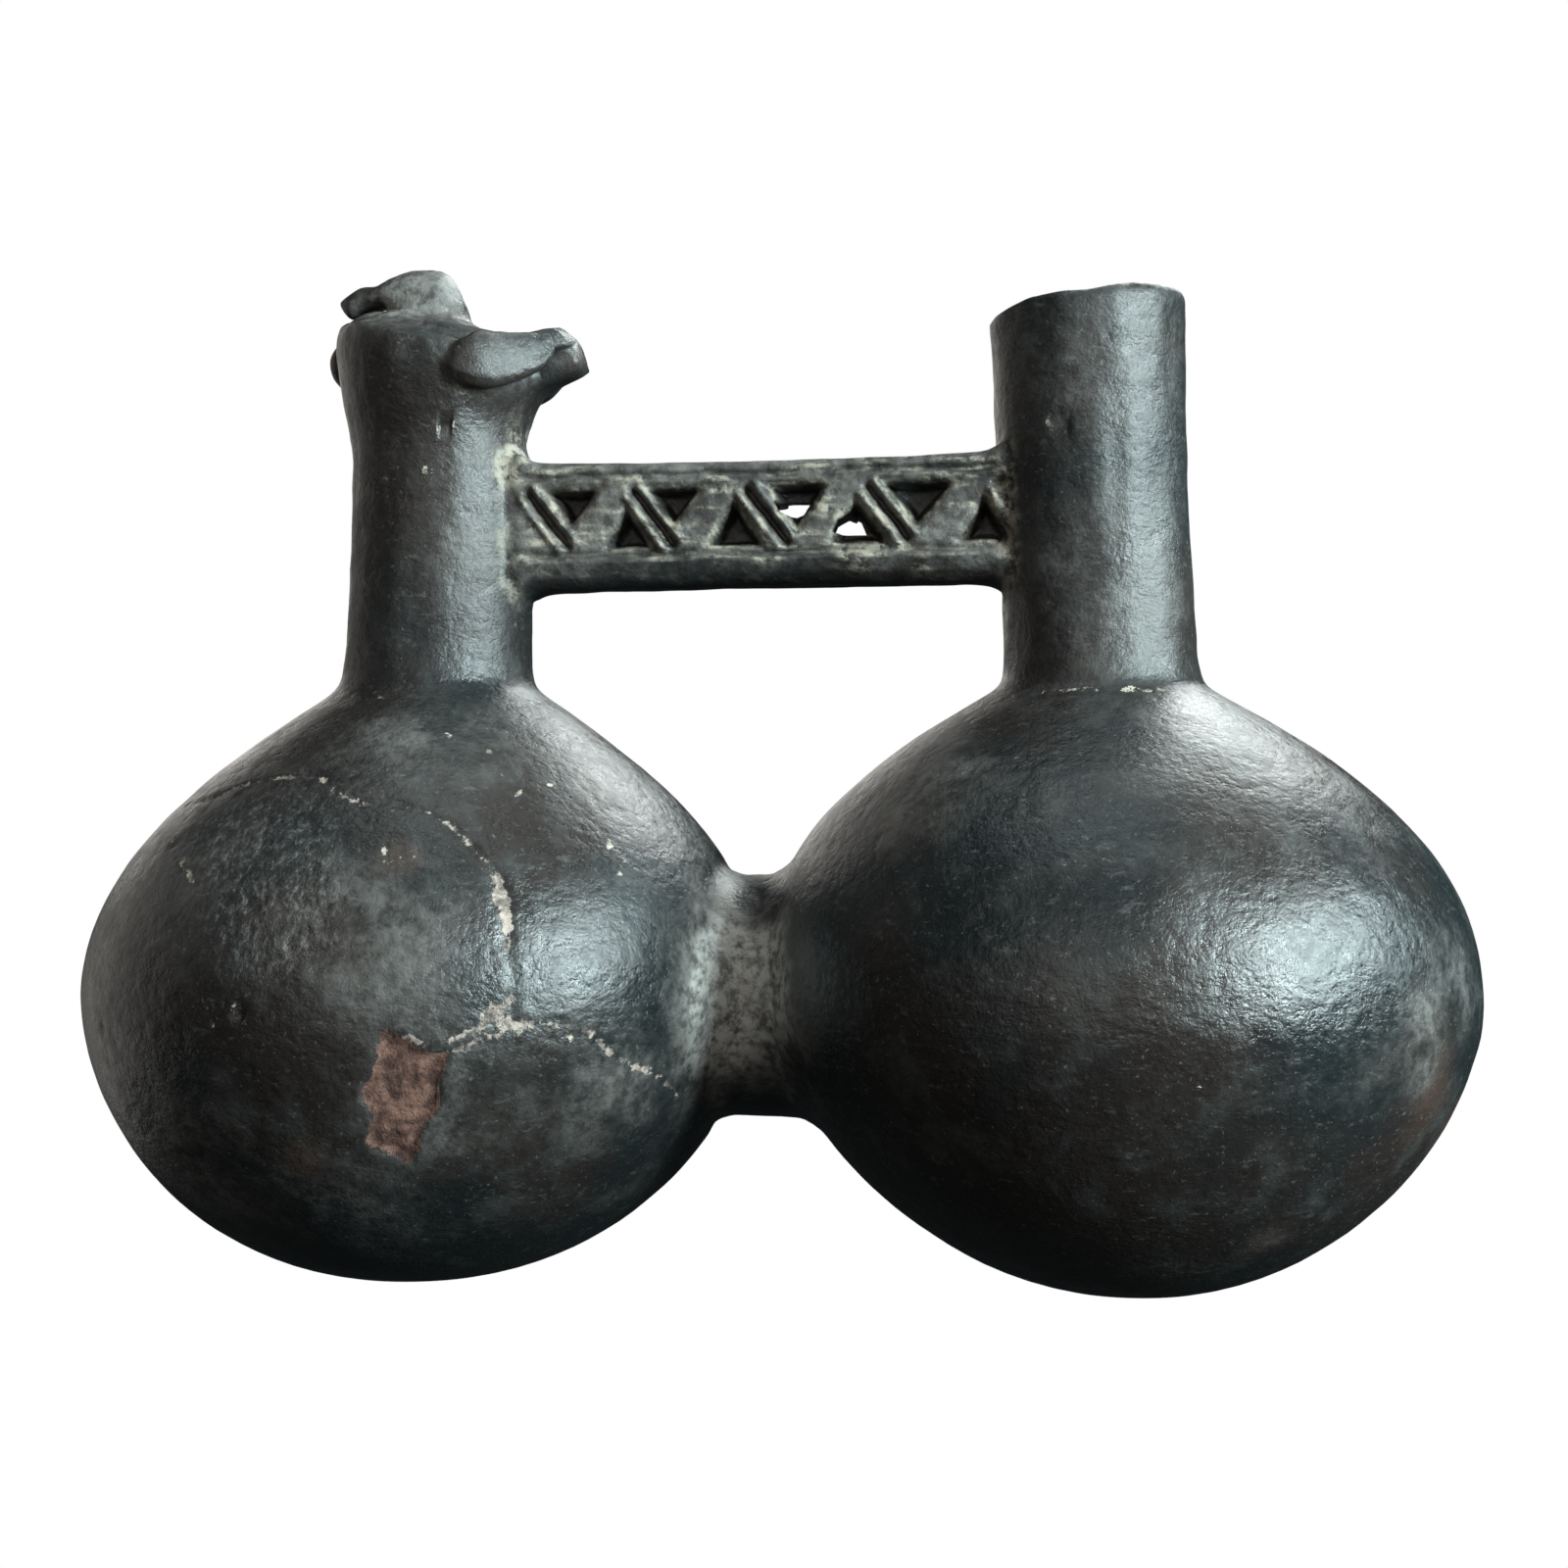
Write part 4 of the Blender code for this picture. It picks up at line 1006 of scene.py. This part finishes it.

# %% [markdown]
# The finish.
# The black comes from a smoky firing, the shine from rubbing the leather-hard clay with a pebble. So the
# base is nearly black, cooler in places and browner in others, and glossy where the stone passed. One
# Principled shader carries it: noise on Object coordinates gives clouds, strokes and grain, and the masks
# from the mesh lay earth, crack fill and bare red clay over it, with a painted highlight on the carved rims
# and a painted sheen on the tube.

# %% Node helpers
def give(tree, socket, value):
    """Links a socket to another, or sets its plain value."""
    if isinstance(value, bpy.types.NodeSocket):
        tree.links.new(value, socket)
    else:
        socket.default_value = value


def noise(tree, coordinates, scale, detail=3.0, rough=0.55, stretch=None):
    """Noise on object coordinates, its scale in features per metre, stretched by a Mapping node if asked."""
    if stretch:
        mapping = tree.nodes.new("ShaderNodeMapping")
        tree.links.new(coordinates, mapping.inputs["Vector"])
        mapping.inputs["Scale"].default_value = stretch
        coordinates = mapping.outputs["Vector"]
    made = tree.nodes.new("ShaderNodeTexNoise")
    tree.links.new(coordinates, made.inputs["Vector"])
    for name, value in (("Scale", scale), ("Detail", detail), ("Roughness", rough)):
        made.inputs[name].default_value = value
    return made.outputs[0]


def ramp(tree, value, low, high, to_low=0.0, to_high=1.0, kind="SMOOTHSTEP"):
    """A ramp of a value from one range to another, smooth unless another kind is asked."""
    made = tree.nodes.new("ShaderNodeMapRange")
    made.interpolation_type = kind
    give(tree, made.inputs["Value"], value)
    for name, number in (("From Min", low), ("From Max", high), ("To Min", to_low), ("To Max", to_high)):
        give(tree, made.inputs[name], number)
    return made.outputs["Result"]


def mix(tree, factor, first, second):
    """A colour between two, by a factor."""
    made = tree.nodes.new("ShaderNodeMix")
    made.data_type = "RGBA"
    for index, value in ((0, factor), (6, first), (7, second)):
        give(tree, made.inputs[index], value)
    return made.outputs[2]


# %% Arithmetic nodes and masks
def maths(tree, operation, *values):
    """One Math node after another: the first two values, then their result and the next, and so on."""
    result = values[0]
    for value in values[1:]:
        made = tree.nodes.new("ShaderNodeMath")
        made.operation = operation
        give(tree, made.inputs[0], result)
        give(tree, made.inputs[1], value)
        result = made.outputs[0]
    return result


def times(tree, *values):
    """The product of values."""
    return maths(tree, "MULTIPLY", *values)


def mask(tree, name):
    """A number that the mesh carries at each vertex."""
    made = tree.nodes.new("ShaderNodeAttribute")
    made.attribute_name = name
    return made.outputs["Fac"]


# %% Black ground, its wear and the tube's painted sheen
def black_ground(tree, where, patch, grain):
    """Clouds of cool and brown black, then scuffs, wear that ends in pale dust, a painted sheen on the tube,
    embers and grit.
    """
    broad = noise(tree, where, 24.0, 3.0)
    scuffs = noise(tree, where, 420.0, 6.0, 0.75, (0.6, 1.0, 1.6))
    grit = noise(tree, where, 1300.0, 3.0, 0.6)
    wear_and_sheen = mask(tree, "wear_and_sheen")
    dusty = mix(tree, ramp(tree, patch, 0.38, 0.62), (0.045, 0.043, 0.041, 1), (0.155, 0.148, 0.138, 1))
    paler_dust_and_sheen = mix(tree, ramp(tree, grain, 0.36, 0.62), dusty, (0.46, 0.455, 0.43, 1))

    base = mix(tree, ramp(tree, broad, 0.38, 0.62), (0.0095, 0.0130, 0.0140, 1), (0.0185, 0.0145, 0.0130, 1))
    base = mix(tree, ramp(tree, patch, 0.49, 0.74), base, (0.038, 0.039, 0.038, 1))
    base = mix(tree, ramp(tree, scuffs, 0.57, 0.70, 0.0, 0.5), base, (0.10, 0.10, 0.095, 1))
    base = mix(tree, times(tree, wear_and_sheen, ramp(tree, grain, 0.36, 0.60, 0.30, 1.0)), base, dusty)
    # Past a wear of 0.9 the colour goes pale grey: dust on the head, and dust with a painted sheen on the
    # tube.
    base = mix(tree, ramp(tree, wear_and_sheen, 0.9, 2.0, 0.0, 0.9), base, paler_dust_and_sheen)
    base = mix(tree, times(tree, mask(tree, "ember"), 0.7), base, (0.085, 0.050, 0.038, 1))
    return mix(tree, ramp(tree, grit, 0.62, 0.74, 0.0, 0.45), base, (0.17, 0.17, 0.16, 1))


# %% Pits, scar, crack fill, earth and the painted rim highlight
def damaged(tree, where, base, grain, crumbly):
    """Lays pits, scar, fill, earth and the painted rim highlight over a base. Gives the colour, and a mask of
    the bare clay.
    """
    ragged_edge = ramp(tree, grain, 0.3, 0.7, -0.45, 0.45)

    def torn(name, low, high):
        """1 inside a mark, by its margin on the mesh, with its edge torn by the grain."""
        return ramp(tree, maths(tree, "ADD", mask(tree, name), ragged_edge), low, high)

    scrape = noise(tree, where, 850.0, 6.0, 0.8, (1.0, 1.0, 0.5))
    pitted = mask(tree, "pitted")
    crust = times(tree, pitted, ramp(tree, scrape, 0.50, 0.66), 0.6)
    base = mix(tree, crust, base, (0.20, 0.195, 0.185, 1))
    hollow = times(tree, pitted, ramp(tree, scrape, 0.52, 0.42), 0.7)
    base = mix(tree, hollow, base, (0.012, 0.011, 0.011, 1))

    scar = torn("scar", -0.05, 0.12)
    clay = ramp(tree, noise(tree, where, 330.0, 5.0, 0.7), 0.38, 0.66)
    base = mix(tree, scar, base, mix(tree, clay, (0.048, 0.021, 0.016, 1), (0.200, 0.105, 0.078, 1)))
    crack = torn("crack", -0.05, 0.18)
    fill = mix(tree, ramp(tree, crumbly, 0.36, 0.60), (0.07, 0.055, 0.050, 1), (0.40, 0.330, 0.285, 1))
    base = mix(tree, crack, base, fill)

    crumbs = ramp(tree, crumbly, 0.40, 0.58)
    flake = times(tree, torn("flake", 0.0, 0.2), ramp(tree, crumbs, 0.0, 0.7, 0.35, 0.95))
    earth_and_rim_highlight = maths(tree, "MAXIMUM", times(tree, mask(tree, "earth_and_rim_highlight"), crumbs), flake)
    # One pale colour serves for the earth and for the painted highlight on the carved rims.
    base = mix(tree, earth_and_rim_highlight, base, (0.42, 0.38, 0.305, 1))
    return base, maths(tree, "MAXIMUM", scar, crack, earth_and_rim_highlight)


# %% Shine and relief of the finish
def shine(tree, patch, grain, bare):
    """Roughness: low where the stone passed, higher on pits, worn places and necks, and 0.9 on bare clay."""
    stone, sand = ramp(tree, patch, 0.32, 0.68, 0.22, 0.36), ramp(tree, grain, 0.3, 0.7, -0.06, 0.08)
    polish = maths(tree, "ADD", stone, sand)
    shares = {"pitted": 0.45, "wear_and_sheen": 0.22, "neck": 0.2}
    dulled = [times(tree, mask(tree, name), share) for name, share in shares.items()]
    return ramp(tree, maths(tree, "MAXIMUM", bare, *dulled), 0.0, 1.0, polish, 0.9, "LINEAR")


def relief(tree, where, patch, grain, bare, crumbly):
    """A height in strokes, grain and patches, with more grain in the pits and crumbs on bare clay."""
    strokes = noise(tree, where, 230.0, 4.0, 0.6, (1.0, 1.0, 1.7))
    in_pits = times(tree, mask(tree, "pitted"), grain, 1.5)
    on_bare = times(tree, bare, ramp(tree, crumbly, 0.40, 0.58), 0.35)
    waves = times(tree, strokes, 0.8), times(tree, grain, 0.8), times(tree, patch, 1.3)
    return maths(tree, "ADD", *waves, in_pits, on_bare)


# %% Black burnished clay
def black_clay():
    """The whole finish: ground, damage, shine and relief, all on the same patches and grain."""
    material = bpy.data.materials.new("black_fired_clay")
    material.use_nodes = True
    tree = material.node_tree
    shader = tree.nodes["Principled BSDF"]
    where = tree.nodes.new("ShaderNodeTexCoord").outputs["Object"]
    patch = noise(tree, where, 90.0, 5.0, 0.65)
    grain = noise(tree, where, 520.0, 5.0, 0.7)
    crumbly = noise(tree, where, 420.0, 5.0, 0.7)

    base, bare = damaged(tree, where, black_ground(tree, where, patch, grain), grain, crumbly)
    give(tree, shader.inputs["Base Color"], base)
    give(tree, shader.inputs["Roughness"], shine(tree, patch, grain, bare))
    bump = tree.nodes.new("ShaderNodeBump")
    give(tree, bump.inputs["Height"], relief(tree, where, patch, grain, bare, crumbly))
    bump.inputs["Strength"].default_value = 0.8
    bump.inputs["Distance"].default_value = 0.00040
    give(tree, shader.inputs["Normal"], bump.outputs["Normal"])
    return material


# %% The finished piece
vessel.name = "clay_vessel"
mesh.name = "clay_vessel"
mesh.materials.clear()
mesh.materials.append(black_clay())
mesh.shade_smooth()
triangles = sum(len(polygon.vertices) - 2 for polygon in mesh.polygons)
print("clay_vessel:", triangles, "triangles")
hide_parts("vessel")
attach(vessel, "root")

# %% [markdown]
# The studio.
# A pale floor and a white surround show the outline as the photograph does. Dark clay shows only what it
# reflects, so the lights decide how it reads: two windows to the right leave the highlights on each chamber,
# a skylight behind them rims the shoulders, and broad dim walls in front and at the sides fill the necks and
# the tube. The floor gives nothing back, which leaves the undersides black.

# %% One soft light
AIM = Vector((0.0, 0.0, 0.07))


def soft_light(name, azimuth, elevation, distance, size, power, colour):
    """A rectangle of light that faces the vessel. Azimuth runs from the front (-Y) towards +X, in degrees."""
    turn, lift = math.radians(azimuth), math.radians(elevation)
    towards = Vector((math.sin(turn) * math.cos(lift), -math.cos(turn) * math.cos(lift), math.sin(lift)))
    data = bpy.data.lights.new(name, "AREA")
    data.shape = "RECTANGLE"
    data.size, data.size_y = size
    data.energy = power
    data.color = colour
    thing = bpy.data.objects.new(name, data)
    thing.location = AIM + towards * distance
    thing.rotation_euler = towards.to_track_quat("Z", "Y").to_euler()
    thing.visible_camera = False
    bpy.context.scene.collection.objects.link(thing)


# %% Floor and surround
def white_floor():
    """A wide disc, pure white to the camera, that neither lights the vessel nor shows in its gloss."""
    t = np.linspace(0, math.tau, 96, endpoint=False)
    edge = 900.0 * np.stack([np.cos(t), np.sin(t), 0 * t], -1)
    floor = surface_object("floor", np.stack([edge - (0, 0, 0.1), edge - (0, 0, 4.0)]))
    material = bpy.data.materials.new("white_floor")
    material.use_nodes = True
    tree = material.node_tree
    tree.nodes.remove(tree.nodes["Principled BSDF"])
    glow = tree.nodes.new("ShaderNodeEmission")
    glow.inputs["Color"].default_value = (1, 1, 1, 1)
    tree.links.new(glow.outputs[0], tree.nodes["Material Output"].inputs["Surface"])
    floor.data.materials.append(material)
    floor.visible_diffuse = False
    floor.visible_glossy = False


def surround():
    """White to the camera, and nearly black to everything that is lit by it."""
    world = bpy.data.worlds.new("surround")
    bpy.context.scene.world = world
    world.use_nodes = True
    tree = world.node_tree
    is_camera = tree.nodes.new("ShaderNodeLightPath").outputs["Is Camera Ray"]
    seen = mix(tree, is_camera, (0.016, 0.020, 0.021, 1), (1, 1, 1, 1))
    tree.links.new(seen, tree.nodes["Background"].inputs["Color"])


# %% The eight lights
white_floor()
surround()
COOL, PALE, WARM = (0.80, 0.98, 1.0), (0.92, 1.0, 0.99), (1.0, 0.96, 0.90)
soft_light("window_low", 54, 14, 0.90, (0.18, 0.18), 14.0, COOL)
soft_light("window_high", 84, 21, 0.90, (0.20, 0.20), 6.0, COOL)
soft_light("wall_right", 66, 27, 1.10, (0.80, 0.62), 7.0, COOL)
soft_light("skylight", 156, 42, 0.90, (0.45, 0.35), 5.5, PALE)
soft_light("wall_front", 4, 18, 1.30, (1.60, 0.90), 5.0, WARM)
soft_light("wall_left", -112, 4, 1.20, (1.20, 1.20), 2.4, WARM)
soft_light("wall_back_left", 205, 16, 1.00, (0.60, 0.40), 1.0, WARM)
soft_light("lamp_overhead", 0, 86, 0.90, (0.50, 0.50), 1.6, PALE)

# %% [markdown]
# The camera.
# The vessel was photographed from close by, at about the height of its shoulders, and turned seven degrees,
# which brings the right bottle nearer and makes it look larger. A camera 450 mm away gives that perspective.

# %% Camera
TURN = math.radians(7.0)
EYE_DISTANCE = 0.450
EYE_HEIGHT = 0.0805
AIM_X = 0.00204
IMAGE_WIDTH = 1600
FOCAL_PIXELS = 2812.5
SENSOR = 36.0

camera_data = bpy.data.cameras.new("camera")
camera_data.sensor_width = SENSOR
camera_data.lens = SENSOR * FOCAL_PIXELS / IMAGE_WIDTH
camera = bpy.data.objects.new("camera", camera_data)
bpy.context.scene.collection.objects.link(camera)
camera.location = (AIM_X + EYE_DISTANCE * math.sin(TURN), -EYE_DISTANCE * math.cos(TURN), EYE_HEIGHT)
camera.rotation_euler = (math.pi / 2, 0.0, TURN)
bpy.context.scene.camera = camera
bpy.context.scene.view_settings.view_transform = "Standard"

# %% Finish
bpy.context.view_layer.update()
